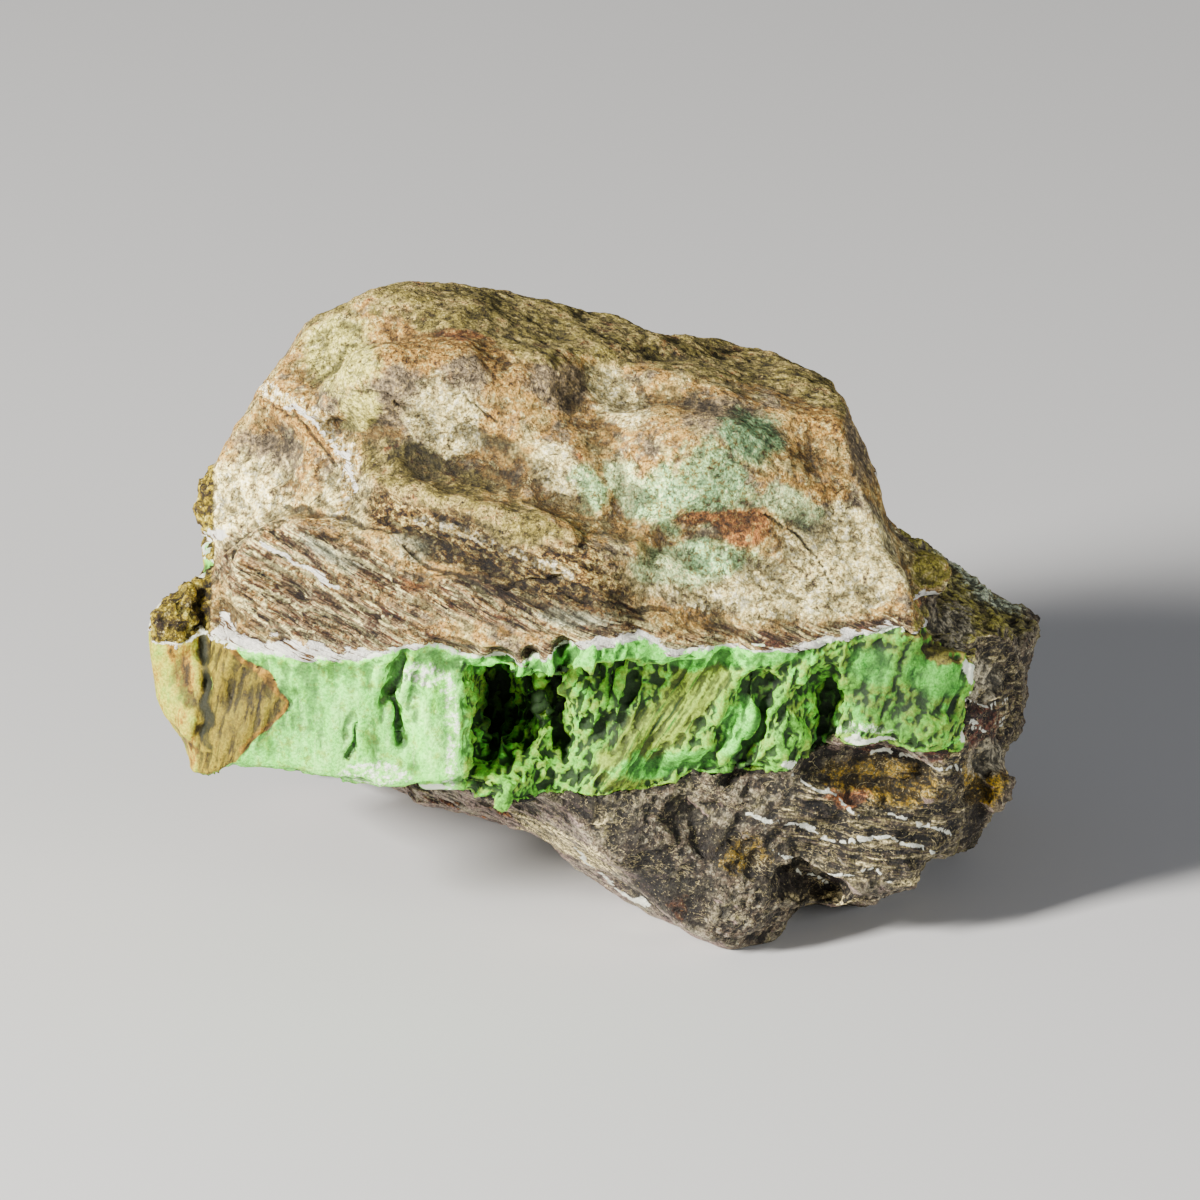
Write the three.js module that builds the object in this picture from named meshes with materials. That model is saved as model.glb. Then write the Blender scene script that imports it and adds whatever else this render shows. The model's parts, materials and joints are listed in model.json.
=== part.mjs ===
import * as THREE from "three";
import { ImprovedNoise } from "three/addons/math/ImprovedNoise.js";

// Raw gaspeite: one broken lump of host rock, crossed by a level seam of green ore.
// The rock above the seam overhangs it, the rock below tapers to a narrow foot,
// and a low shoulder stands out at the back right. Millimetres, +Z up, +Y away from the viewer.

// Driving dimensions.
// The stone is drawn as an eye sees it that looks down on its front by lookDown,
// so a place on it is [across, up, back]: across and up as seen, back along +Y.
const lookDown = THREE.MathUtils.degToRad(20);
const eyeHeight = 45.5; // height above the ground of what the eye looks at
const seamTop = 9; // the seam's upper and lower limit, measured from eyeHeight
const seamBottom = -13;
const seamTilt = 0.015; // the seam's rise to the right of its middle
const facet = { x: 3.5, front: 3.2, back: 5, z: 3.4 }; // size of the facets
const frontEnds = -14; // where along Y the facets turn coarser
const cellMargin = 0.06; // how far a corner keeps from its neighbours' cells, as a share of a cell
const groundSnap = 0.7; // what comes this near the ground is flat on it
const rounding = { dome: 2, bench: 1, wedge: 1.2, seam: 0.8, lump: 5, scoop: 2 }; // widths of the joins

// How high the roughness stands, and how large its lumps are.
const rough = {
  broad: { height: 1.5, size: 19 },
  medium: { height: 1.1, size: 8.5 },
  outline: { height: 0.3, size: 6 },
  seamWave: { height: 1.6, size: 22 },
  ledges: { height: 1.1, size: { x: 26, y: 22, z: 4.6 }, dip: 0.3 },
  ribs: { height: 1.7, size: { x: 4.4, y: 12, z: 13 }, slant: 0.5 },
  fade: 2, // over how much height the seam's own roughness takes over
};
const layersEnd = { from: 16, to: 30 }; // the heights over which the layers of the rock above die out
// The seam's left part is smoother: wholly up to full, not at all from gone on, and less on the slab.
const smoothLeft = { full: -24, gone: -18, slabEnd: -50, calm: 0.6, onSlab: 0.3 };

const sinLook = Math.sin(lookDown);
const cosLook = Math.cos(lookDown);

// Seen coordinates to a point in space, and the seen height of such a point.
function seen(across, up, back) {
  return new THREE.Vector3(across, back, eyeHeight + (up - back * sinLook) / cosLook);
}

function upOf(p) {
  return (p.z - eyeHeight) * cosLook + p.y * sinLook;
}

// Distances, negative inside, that the blocks are made of.
function face(inside, [a, b, c]) {
  const plane = new THREE.Plane().setFromCoplanarPoints(seen(...a), seen(...b), seen(...c));
  if (plane.distanceToPoint(inside) > 0) plane.negate();
  return (p) => plane.distanceToPoint(p);
}

function polygonDistance(points, u, v) {
  let nearest = Infinity;
  let inside = false;
  points.forEach(([u1, v1], i) => {
    const [u2, v2] = points[(i + 1) % points.length];
    const [du, dv] = [u2 - u1, v2 - v1];
    const along = THREE.MathUtils.clamp(((u - u1) * du + (v - v1) * dv) / (du * du + dv * dv), 0, 1);
    nearest = Math.min(nearest, Math.hypot(u - u1 - along * du, v - v1 - along * dv));
    if (v1 > v !== v2 > v && u < u1 + ((v - v1) / dv) * du) inside = !inside;
  });
  return inside ? -nearest : nearest;
}

function block({ inside, faces, outline, plan, floor = -Infinity, roof = Infinity }) {
  const planes = faces.map((points) => face(seen(...inside), points));
  return (p) => {
    const level = p.z - eyeHeight;
    let d = Math.max(floor - level, level - roof, ...planes.map((plane) => plane(p)));
    if (outline) d = Math.max(d, polygonDistance(outline, p.x, upOf(p)));
    if (plan) d = Math.max(d, polygonDistance(plan, p.x, p.y));
    return d;
  };
}

// An egg-shaped lump or scoop, turned about the line of sight.
function egg({ at, radii, turn = 0 }) {
  const centre = seen(...at);
  const turned = new THREE.Matrix4().makeRotationY(-THREE.MathUtils.degToRad(turn));
  const scale = new THREE.Vector3(...radii);
  const least = Math.min(...radii);
  return (p) => (p.clone().sub(centre).applyMatrix4(turned).divide(scale).length() - 1) * least;
}

// Joins and cuts with a rounded edge of the given width.
function join(a, b, width) {
  const h = Math.max(width - Math.abs(a - b), 0) / width;
  return Math.min(a, b) - (h * h * width) / 4;
}

function cut(a, b, width) {
  return -join(-a, b, width);
}

const noise = new ImprovedNoise();
function ripple(p, size, seed) {
  return noise.noise(p.x / size + seed, p.y / size + 2 * seed, p.z / size - seed);
}

// The outline of the whole stone as seen from the front, as [across, up] from the left end clockwise.
const wholeOutline = [
  [-67.2, -6], [-67, -1.8], [-65.2, 0], [-62.7, 0.8], [-61.8, 2.6], [-58.2, 4.4], [-60, 6], [-60, 9],
  [-61.3, 12.7], [-60, 16.5], [-57.7, 20.3], [-54.7, 25.5], [-51.3, 30.8], [-48.8, 34.5],
  [-46.2, 38.3], [-44.3, 41.2], [-38.3, 44.3], [-33, 46.7], [-28.5, 47.4], [-18, 46.7], [-6, 45.2],
  [0, 43.4], [6.8, 40.4], [15, 39.3], [25.5, 37.2], [30, 35.1], [33.8, 32.9], [37.2, 29.7],
  [39.3, 24.8], [41, 18.8], [42, 15], [43, 11.1], [45.8, 10.2], [51, 7], [56.3, 3.5], [60.8, 0],
  [63.8, -1.2], [66, -3], [67, -4.8], [65.7, -8.2], [64.5, -10.5], [65, -13.8], [64.2, -17.4],
  [63.7, -20.6], [61, -21.8], [60.2, -23.4], [61, -26.6], [60.8, -28.8], [59.2, -31.5], [57.3, -34.6],
  [57.2, -36], [56.2, -38.3], [50.8, -38.3], [48, -40], [47.5, -43], [43.6, -44], [40.2, -46.4],
  [33, -45.8], [30.5, -45.5], [28.5, -47.3], [27.8, -50.3], [25.5, -51.8], [24, -53.3], [21.8, -53.7],
  [18, -52.2], [12, -49.5], [6, -46.5], [0, -43.1], [-4.5, -40.2], [-7.5, -36.3], [-12, -34.8],
  [-18, -33], [-24, -31.5], [-28.5, -30.3], [-32.3, -28.5], [-35.3, -26.9], [-40.5, -26.3],
  [-46.5, -25.2], [-52.5, -24.8], [-57.8, -23.3], [-61.5, -21.8], [-64.2, -19.2], [-66, -15],
  [-66.8, -10.5],
];

// Faces that the rock above the seam shares with the dome on it.
const leftFlank = [[-50.5, 32, -9], [-34.5, 20, -25], [-60, 12, -12]];
const topOnTheLeft = [[-28, 44.5, -10], [0, 35.5, -16], [-6, 48, 18]];

// The rock above the seam.
const upperRock = block({
  inside: [0, 8, 5],
  floor: seamTop - 3,
  faces: [
    [[0, 34.2, -16], [40, -5, -37.5], [6, -3, -40]], // main front, on the right
    [[36, 27, -12], [47, -4, -32], [41, 18, 4]], // right end, turned away
    [[-45, 38, -6], [-40, 24, -17.5], [-25, 22, -20]], // behind the dome
    leftFlank,
    topOnTheLeft,
    [[0, 35, -16], [32, 31, -13], [18, 38.6, 18]], // top, right half
    [[-24, 45, 22], [20, 39, 27], [0, 22, 43]], // back of the top
    [[-30, 10, 43], [30, 8, 46], [0, -8, 48]], // back
    [[-63, 10, 0], [-46, 14, 42], [-56, 34, 6]], // back of the left flank
    [[-60, 4, -30], [-52, 0, 30], [-64, 24, 0]], // left end
    [[43, 10, 45], [50, 0, -8], [37, 30, 30]], // back right
    [[-30, 12, -33], [20, 4, -36], [0, -8, -43.5]], // skirt over the seam
  ],
});

// The dome, which bulges out on the left and hangs over the bench.
const dome = block({
  inside: [-20, 30, -10],
  faces: [
    [[-38, 44.2, -6], [-17, 39.5, -15], [-12, 17, -31]], // front
    [[-8, 35, -20.5], [-3, 15, -34.8], [4, 12, -30.2]], // right side, down to the main front
    [[-30, 24.3, -21.2], [-6, 16.2, -33.2], [-20, 19.5, -22]], // underside
    leftFlank,
    topOnTheLeft,
    [[-40, 20, 10], [0, 20, 10], [-20, 50, 12]], // buried back
  ],
});

// The layered wedge at the lower left, which lies on the seam and overhangs it.
const wedge = block({
  inside: [-38, 2, -30],
  floor: seamTop - 2,
  outline: [
    [-56.5, 5.5], [-51, 10.8], [-45, 12.2], [-37.5, 11.4], [-28, 11], [-18, 6], [-8, 2], [0, -2],
    [-8, -6], [-15, -7], [-24, -5.5], [-33, -9], [-43, -9], [-53, -7.8], [-57, -4],
  ],
  faces: [
    [[-50, 10.8, -31], [-28, 9, -35], [-40, -8, -46.5]],
    [[-57, 4, -30], [-53, -6, -42], [-58, 0, -10]],
    [[-60, 0, -10], [0, 0, -10], [-30, 20, -10]],
  ],
});

// The olive bench that runs down to the right under the dome, with its golden cliff.
const bench = block({
  inside: [-20, 8, -28],
  floor: seamTop - 2,
  faces: [
    [[-20, 19.5, -22], [-20, 14, -36], [-6, 12.6, -31]], // olive top
    [[-30, 17.5, -32], [-6, 10.7, -40], [-20, 4, -40.5]], // golden cliff
    [[-37, 24, -18], [-31, 17, -31.5], [-36, 8, -33]], // end towards the left flank
    [[-2, 9.5, -40], [14, 6, -33.5], [14, -4, -40]], // end towards the main front
    [[-38, 0, -10], [0, 0, -10], [-30, 20, -10]], // buried back
  ],
});

// The seam's plan, which the rock below shares at the back and the right.
const seamPlan = [
  [-58.5, -39], [-55, -42.5], [-48, -44], [-40, -45], [-30, -45.6], [-25, -44.5], [-21.5, -41],
  [-20, -35], [-18.5, -29.5], [-12.5, -28.5], [-9, -32.5], [-2, -35.5], [8, -38], [20, -39],
  [29.5, -38.5], [32, -34], [34, -33.5], [37, -36.5], [46, -35.5], [53, -32.5], [56, -28],
  [56.5, -17], [61, -6], [66.5, 6], [66.5, 20], [61, 36], [50, 46], [25, 49], [-8, 48], [-34, 48],
  [-50, 43], [-59, 24], [-62, 0], [-61, -24],
];

// The top of the shoulder falls to the right.
const shoulderTop = [[55.5, -6, -18], [43, 11.2, 25], [66, -3, 10]];

const seam = block({
  inside: [0, -14, 0],
  plan: seamPlan,
  faces: [
    shoulderTop,
    [[-60, -12, -45], [-20, -10, -46], [-40, -26, -44.5]], // smooth left front, nearly upright
  ],
});

function seamSlab(p) {
  const level = p.z - eyeHeight;
  const tilt = Math.max(p.x, 0) * seamTilt;
  const wave = rough.seamWave.height * ripple(p, rough.seamWave.size, 3) + tilt;
  return Math.max(seam(p), level - seamTop - wave, seamBottom + wave - level);
}

// The slab at the left end, behind a deep crack.
const leftSlab = block({
  inside: [-62, -8, -20],
  faces: [
    [[-67, -8, -36], [-58, -8, -38], [-60, -22, -38]],
    [[-67, 0, -34], [-58, 3, -34], [-62, 2, -5]],
    [[-56, 0, -30], [-56, -20, -30], [-56, -10, 0]],
    [[-68, -8, -30], [-64, -10, 8], [-67, -16, -30]],
    [[-67, -10, 6], [-50, -10, 14], [-60, -20, 12]],
    [[-67, -14, -36], [-58, -24, -36], [-60, -30, 0]],
  ],
});

// The rock below the seam, with the shoulder at the back right.
const lowerRock = block({
  inside: [20, -30, 10],
  roof: seamBottom + 3,
  plan: [
    [-40, -38], [-12, -37], [0, -38.5], [28, -37.5], [36, -34], [50, -33], [56, -27], [57, -16], [61, -6],
    [66, 8], [65, 22], [59, 38], [48, 46], [25, 49], [-8, 48], [-34, 48], [-50, 43], [-58, 24], [-52, -12],
  ],
  faces: [
    [[-10, -28, -38], [22, -53.7, -33], [-5, -40, -14]], // flat grey face at the lower left
    [[4, -30, -35.5], [30, -29, -35], [20, -51, -36.5]], // front
    [[30, -30, -36], [55, -36, -26], [36, -46, -27]], // lower right front
    [[57, -12, -24], [64, -14, 10], [56, -37, -6]], // right end
    [[20, 0, 48], [-30, 0, 47], [0, -40, 42]], // back
  ],
});

// What sticks out a little, and what has broken away.
const lumps = [
  { at: [14, 18, -24], radii: [16, 9, 11], turn: 12 }, // boss in the middle of the main front
  { at: [-25, 30, -20], radii: [15, 7, 9], turn: 10 }, // swell of the dome
  { at: [5, -33, -33], radii: [9, 6, 7], turn: 20 }, // dark lumps under the seam
  { at: [17, -41, -30], radii: [8, 6, 9], turn: 10 },
  { at: [40, -38, -27], radii: [9, 6, 5], turn: 20 },
  { at: [58, -29, -6], radii: [5, 8, 6], turn: 0 }, // golden lump on the right end
];

const scoops = [
  { at: [-4, 29, -29], radii: [4.5, 7, 6], turn: -20 }, // notch in the brow
  { at: [-15.5, -18, -41], radii: [4.2, 13, 9.5], turn: 4 }, // deep dark recess in the seam
  { at: [-2.5, -11, -40.5], radii: [5.2, 6, 7.5], turn: 14 }, // hollow under the overhang
  { at: [21, -17, -43], radii: [2.6, 7, 11], turn: 24 }, // slanting furrow in the seam
  { at: [33, -14, -41], radii: [2.4, 7, 12], turn: 8 }, // notch in the seam
  { at: [45, -27, -41], radii: [10.5, 8, 6.5], turn: -8 }, // ochre hollow under the right of the seam
  { at: [31.5, -42.5, -33], radii: [3.4, 5, 3.6], turn: 35 }, // dark hole low on the front
  { at: [59, -11, -20], radii: [4, 9, 6], turn: 0 }, // hollow in the right end
  { at: [-59.8, -1, -38], radii: [2.6, 6, 3.6], turn: 0 }, // pit above the crack
  { at: [-58.2, -12, -40], radii: [1.7, 14, 8.5], turn: -3 }, // crack behind the left slab
  { at: [10, 10, 48], radii: [26, 9, 14], turn: 15 }, // broad scallops on the back
  { at: [-30, -14, 54], radii: [20, 12, 12], turn: -12 },
  { at: [46, -8, 50], radii: [14, 9, 13], turn: 10 },
];

const lumpFields = lumps.map(egg);
const scoopFields = scoops.map(egg);

// Broken rock is lumpy; layered rock breaks in ledges that dip to the right.
function roughness(p) {
  const level = p.z - eyeHeight;
  const { broad, medium, ledges, ribs, fade } = rough;
  const aboveBottom = THREE.MathUtils.smoothstep(level, seamBottom - fade, seamBottom + fade);
  const belowTop = 1 - THREE.MathUtils.smoothstep(level, seamTop - fade, seamTop + fade);
  const inSeam = aboveBottom * belowTop;
  const layered = (1 - inSeam) * (1 - THREE.MathUtils.smoothstep(level, layersEnd.from, layersEnd.to));
  const lumpy = broad.height * ripple(p, broad.size, 1) + medium.height * ripple(p, medium.size, 5);
  const dipped = (p.z + ledges.dip * p.x) / ledges.size.z;
  const ledge = ledges.height * noise.noise(p.x / ledges.size.x, p.y / ledges.size.y, dipped);
  const slanted = (p.x - ribs.slant * p.z) / ribs.size.x;
  const rib = ribs.height * noise.noise(slanted, p.y / ribs.size.y, p.z / ribs.size.z);
  const onSmoothLeft = 1 - THREE.MathUtils.smoothstep(p.x, smoothLeft.full, smoothLeft.gone);
  const calm = smoothLeft.calm * inSeam * onSmoothLeft * (p.x > smoothLeft.slabEnd ? 1 : smoothLeft.onSlab);
  return (lumpy + inSeam * rib) * (1 - calm) + layered * ledge;
}

function stone(p) {
  let d = join(upperRock(p), dome(p), rounding.dome);
  d = join(d, bench(p), rounding.bench);
  d = join(d, wedge(p), rounding.wedge);
  d = Math.min(d, join(seamSlab(p), lowerRock(p), rounding.seam), leftSlab(p));
  for (const lump of lumpFields) d = join(d, lump(p), rounding.lump);
  for (const scoop of scoopFields) d = cut(d, scoop(p), rounding.scoop);
  d += roughness(p);
  const brokenEdge = rough.outline.height * ripple(p, rough.outline.size, 9);
  d = Math.max(d, polygonDistance(wholeOutline, p.x, upOf(p)) + brokenEdge);
  return Math.max(d, -p.z);
}

const leastDistance = 1e-6; // a sample is never exactly on the surface
const filled = 0.05; // the distance given to a sample that changes sides

// A grid of samples of the field, kept to one solid piece that can be skinned without a pinched edge.
function sampleGrid(field, xs, ys, zs) {
  const count = [xs.length, ys.length, zs.length];
  const at = (i, j, k) => (k * count[1] + j) * count[0] + i;
  const place = (i, j, k) => new THREE.Vector3(xs[i], ys[j], zs[k]);
  const value = new Float64Array(count[0] * count[1] * count[2]);
  for (let k = 0; k < count[2]; k++)
    for (let j = 0; j < count[1]; j++)
      for (let i = 0; i < count[0]; i++) value[at(i, j, k)] = field(place(i, j, k)) || leastDistance;
  return { count, at, place, value, strides: [1, count[0], count[0] * count[1]] };
}

function keepOnePiece({ value, strides, count }) {
  const neighbours = (n) => strides.flatMap((s) => [n - s, n + s]);
  const flood = (start, belongs) => {
    const reached = new Uint8Array(value.length);
    const stack = [start];
    reached[start] = 1;
    while (stack.length)
      for (const n of neighbours(stack.pop()))
        if (n >= 0 && n < value.length && !reached[n] && belongs(value[n])) {
          reached[n] = 1;
          stack.push(n);
        }
    return reached;
  };
  const middle = count.reduce((sum, n, axis) => sum + Math.floor(n / 2) * strides[axis], 0);
  const solid = flood(middle, (v) => v < 0);
  const air = flood(0, (v) => v > 0);
  value.forEach((v, n) => {
    if (v < 0 && !solid[n]) value[n] = filled;
    if (v > 0 && !air[n]) value[n] = -filled;
  });
}

// The eight corners of a grid cell, and its twelve edges as pairs of corners.
const corners = Array.from({ length: 8 }, (_, c) => [c & 1, (c >> 1) & 1, c >> 2]);
const cellEdges = corners.flatMap((_, c) => {
  const free = [1, 2, 4].filter((bit) => !(c & bit));
  return free.map((bit) => [c, c | bit]);
});

function groupsOf(members) {
  const left = new Set(members);
  let groups = 0;
  while (left.size) {
    groups++;
    const stack = [left.values().next().value];
    left.delete(stack[0]);
    while (stack.length) {
      const c = stack.pop();
      for (const bit of [1, 2, 4]) if (left.delete(c ^ bit)) stack.push(c ^ bit);
    }
  }
  return groups;
}

function unpinch({ value, strides, count, at }) {
  for (let changed = true; changed; ) {
    changed = false;
    for (let k = 0; k < count[2] - 1; k++)
      for (let j = 0; j < count[1] - 1; j++)
        for (let i = 0; i < count[0] - 1; i++) {
          const nodes = corners.map(([a, b, c]) => at(i + a, j + b, k + c));
          const inner = nodes.flatMap((n, c) => (value[n] < 0 ? [c] : []));
          if (inner.length === 0 || inner.length === 8) continue;
          const outer = nodes.flatMap((n, c) => (value[n] < 0 ? [] : [c]));
          const pinchedFace = strides.some((_, axis) => [0, 1].some((side) => {
            const four = nodes.filter((_, c) => corners[c][axis] === side).map((n) => value[n] < 0);
            return four[0] === four[3] && four[1] === four[2] && four[0] !== four[1];
          }));
          if (!pinchedFace && groupsOf(inner) === 1 && groupsOf(outer) === 1) continue;
          for (const c of outer) value[nodes[c]] = -filled;
          changed = true;
        }
  }
}

const pull = 0.12; // keeps a corner near the middle of its cell's crossings where the faces say little
const reach = 0.4; // how far from a crossing the direction of its face is felt

// Where the stone's surface runs through a cell: the point that lies best on the faces it meets there.
function surfacePoint(field, grid, i, j, k) {
  const hits = [];
  for (const [c1, c2] of cellEdges) {
    const ends = [c1, c2].map((c) => [i + corners[c][0], j + corners[c][1], k + corners[c][2]]);
    const [p1, p2] = ends.map((end) => grid.place(...end));
    const [v1, v2] = ends.map((end) => grid.value[grid.at(...end)]);
    if (v1 < 0 !== v2 < 0) hits.push(p1.lerp(p2, v1 / (v1 - v2)));
  }
  const mean = hits.reduce((sum, p) => sum.add(p), new THREE.Vector3()).divideScalar(hits.length);
  const m = new THREE.Matrix3().set(pull, 0, 0, 0, pull, 0, 0, 0, pull).elements;
  const rhs = new THREE.Vector3();
  for (const p of hits) {
    const n = new THREE.Vector3(
      field(p.clone().setX(p.x + reach)) - field(p.clone().setX(p.x - reach)),
      field(p.clone().setY(p.y + reach)) - field(p.clone().setY(p.y - reach)),
      field(p.clone().setZ(p.z + reach)) - field(p.clone().setZ(p.z - reach)),
    ).normalize();
    const away = n.dot(p.clone().sub(mean));
    rhs.addScaledVector(n, away);
    const a = n.toArray();
    for (let r = 0; r < 3; r++) for (let c = 0; c < 3; c++) m[c * 3 + r] += a[r] * a[c];
  }
  const solve = new THREE.Matrix3();
  solve.elements = m;
  const [low, high] = [grid.place(i, j, k), grid.place(i + 1, j + 1, k + 1)];
  const margin = high.clone().sub(low).multiplyScalar(cellMargin);
  low.add(margin);
  high.sub(margin);
  const point = rhs.applyMatrix3(solve.invert()).add(mean).clamp(low, high);
  if (point.z < groundSnap) point.z = 0;
  return point;
}

function skin(field, xs, ys, zs) {
  const grid = sampleGrid(field, xs, ys, zs);
  keepOnePiece(grid);
  unpinch(grid);
  const { count, at, value } = grid;
  const positions = [];
  const index = [];
  const made = new Map();
  const vertex = (i, j, k) => {
    const key = at(i, j, k);
    if (!made.has(key)) {
      made.set(key, positions.length / 3);
      positions.push(...surfacePoint(field, grid, i, j, k).toArray());
    }
    return made.get(key);
  };
  const corner = (n) => new THREE.Vector3(...positions.slice(3 * n, 3 * n + 3));
  const quad = (a, b, c, d) => {
    // Split along the diagonal that bends less.
    const bend = (p, q, r, s) => {
      const n1 = new THREE.Triangle(corner(p), corner(q), corner(r)).getNormal(new THREE.Vector3());
      const n2 = new THREE.Triangle(corner(p), corner(r), corner(s)).getNormal(new THREE.Vector3());
      return n1.dot(n2);
    };
    if (bend(a, b, c, d) > bend(b, c, d, a)) index.push(a, b, c, a, c, d);
    else index.push(b, c, d, b, d, a);
  };
  for (let k = 1; k < count[2] - 1; k++)
    for (let j = 1; j < count[1] - 1; j++)
      for (let i = 1; i < count[0] - 1; i++) {
        const here = value[at(i, j, k)] < 0;
        const around = [
          [value[at(i + 1, j, k)] < 0, [[i, j - 1, k - 1], [i, j, k - 1], [i, j, k], [i, j - 1, k]]],
          [value[at(i, j + 1, k)] < 0, [[i - 1, j, k - 1], [i - 1, j, k], [i, j, k], [i, j, k - 1]]],
          [value[at(i, j, k + 1)] < 0, [[i - 1, j - 1, k], [i, j - 1, k], [i, j, k], [i - 1, j, k]]],
        ];
        for (const [next, cells] of around) {
          if (here === next) continue;
          const ring = cells.map((c) => vertex(...c));
          quad(...(here ? ring : ring.reverse()));
        }
      }
  return { positions, index };
}

function stops(from, to, step) {
  return Array.from({ length: Math.ceil((to - from) / step) }, (_, n) => from + n * step);
}

// The stone, with the middle of its footprint's box at the origin and its foot on the ground.
const room = { left: -73, right: 75, front: -56, back: 62, bottom: -6, top: 106 }; // how far the grid reaches
const { positions, index } = skin(
  stone,
  stops(room.left, room.right, facet.x),
  [...stops(room.front, frontEnds, facet.front), ...stops(frontEnds, room.back, facet.back)],
  stops(room.bottom, room.top, facet.z),
);
const geometry = new THREE.BufferGeometry();
geometry.setAttribute("position", new THREE.Float32BufferAttribute(positions, 3));
geometry.setIndex(index);
geometry.computeBoundingBox();
const middle = geometry.boundingBox.getCenter(new THREE.Vector3());

// Green where the seam comes to the surface, brown elsewhere.
const seamGreen = new THREE.Color("#6fbf62");
const hostBrown = new THREE.Color("#8a735a");
const colours = [];
for (let n = 0; n < positions.length; n += 3) {
  const level = positions[n + 2] - eyeHeight;
  colours.push(...(level < seamTop && level > seamBottom ? seamGreen : hostBrown).toArray());
}
geometry.setAttribute("color", new THREE.Float32BufferAttribute(colours, 3));
geometry.translate(-middle.x, -middle.y, 0);
geometry.computeVertexNormals();

const rock = new THREE.Mesh(
  geometry,
  new THREE.MeshStandardMaterial({ vertexColors: true, roughness: 0.85, metalness: 0, flatShading: true }),
);
rock.name = "gaspeite_rock";

const specimen = new THREE.Group();
specimen.add(rock);
export default specimen;
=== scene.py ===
import json
import math

import bpy
import numpy as np
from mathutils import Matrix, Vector

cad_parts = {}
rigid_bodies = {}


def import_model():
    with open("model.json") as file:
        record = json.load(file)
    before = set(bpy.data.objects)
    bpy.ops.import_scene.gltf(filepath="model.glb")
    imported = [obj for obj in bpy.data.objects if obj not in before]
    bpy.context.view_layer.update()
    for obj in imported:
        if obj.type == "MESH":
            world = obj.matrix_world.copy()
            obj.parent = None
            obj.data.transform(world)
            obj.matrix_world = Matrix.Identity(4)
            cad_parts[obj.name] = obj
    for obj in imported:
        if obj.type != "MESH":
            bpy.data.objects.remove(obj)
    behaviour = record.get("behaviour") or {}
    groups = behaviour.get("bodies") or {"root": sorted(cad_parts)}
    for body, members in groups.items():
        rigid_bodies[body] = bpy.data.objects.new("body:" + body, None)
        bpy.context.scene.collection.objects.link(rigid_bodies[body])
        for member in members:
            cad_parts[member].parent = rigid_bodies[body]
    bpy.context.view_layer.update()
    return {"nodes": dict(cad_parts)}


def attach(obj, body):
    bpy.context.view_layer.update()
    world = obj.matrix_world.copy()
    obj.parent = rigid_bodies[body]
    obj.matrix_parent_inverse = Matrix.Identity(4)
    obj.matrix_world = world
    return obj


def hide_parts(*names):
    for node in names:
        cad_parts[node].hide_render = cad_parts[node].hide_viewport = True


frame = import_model()
rockNode = frame["nodes"]["gaspeite_rock"]
mm = 0.001

camera = {"lookDown": 20.0, "lens": 600.0, "distance": 3000.0, "aim": (0.0, 0.5, 45.5)}
downSine, downCosine = math.sin(math.radians(camera["lookDown"])), math.cos(math.radians(camera["lookDown"]))


def onlySelect(piece):
    if bpy.context.object and bpy.context.object.mode != "OBJECT":
        bpy.ops.object.mode_set(mode="OBJECT")
    bpy.ops.object.select_all(action="DESELECT")
    piece.hide_set(False)
    piece.select_set(True)
    bpy.context.view_layer.objects.active = piece


def applyModifier(piece, kind, **settings):
    onlySelect(piece)
    modifier = piece.modifiers.new(kind, kind)
    for setting, value in settings.items():
        setattr(modifier, setting, value)
    bpy.ops.object.modifier_apply(modifier=modifier.name)


def twin(piece, name):
    onlySelect(piece)
    bpy.ops.object.duplicate()
    copy = bpy.context.object
    copy.name = copy.data.name = name
    return copy


def smooth(value, low, high):
    t = np.clip((value - low) / (high - low), 0.0, 1.0)
    return t * t * (3 - 2 * t)


def most(*shares):
    return np.clip(np.maximum.reduce(shares), 0, 1)


# A slow random wave over space, from about -1 to 1.
def wander(x, y, z, size, seed):
    dice = np.random.default_rng(seed)
    total = np.zeros(len(x))
    for strength in (1.0, 0.55, 0.3):
        for turn in range(4):
            way = dice.normal(size=3)
            way *= 2 * math.pi / (size * strength * np.linalg.norm(way))
            total += strength * np.sin(x * way[0] + y * way[1] + z * way[2] + dice.uniform(0, 6.3))
    return total / 4


# The value at each place along a row of (place, value) points.
def along(points, at):
    return np.interp(at, *np.array(points, dtype=float).T)


# Where the points of a piece are, in metres, and which way they face.
def pointsOf(piece):
    place, facing = np.empty(len(piece.data.vertices) * 3), np.empty(len(piece.data.vertices) * 3)
    piece.data.vertices.foreach_get("co", place)
    piece.data.vertex_normals.foreach_get("vector", facing)
    return place.reshape(-1, 3), facing.reshape(-1, 3)


# Every point of a piece as the eye sees it: its place in millimetres, and which way it faces.
def readSurface(piece):
    place, facing = pointsOf(piece)
    x, y, z = (place / mm).T
    nx, ny, nz = facing.T
    aimX, aimY, aimZ = camera["aim"]
    across, up = x, (z - aimZ) * downCosine + (y - aimY) * downSine
    return {
        "x": x, "y": y, "z": z, "nx": nx, "ny": ny, "nz": nz, "level": z - aimZ, "count": len(x),
        "across": across + 0.9 * wander(x, y, z, 9.0, 1), "up": up + 0.9 * wander(x, y, z, 9.0, 2),
        "seen": smooth(nz * downSine - ny * downCosine, 0.0, 0.25),
    }


def spot(s, across, up, wide, tall, turn=0.0):
    dx, du = s["across"] - across, s["up"] - up
    c, n = math.cos(math.radians(turn)), math.sin(math.radians(turn))
    reach = np.hypot((dx * c - du * n) / wide, (dx * n + du * c) / tall)
    return (1 - smooth(reach, 0.45, 1.45)) * s["seen"]


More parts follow.
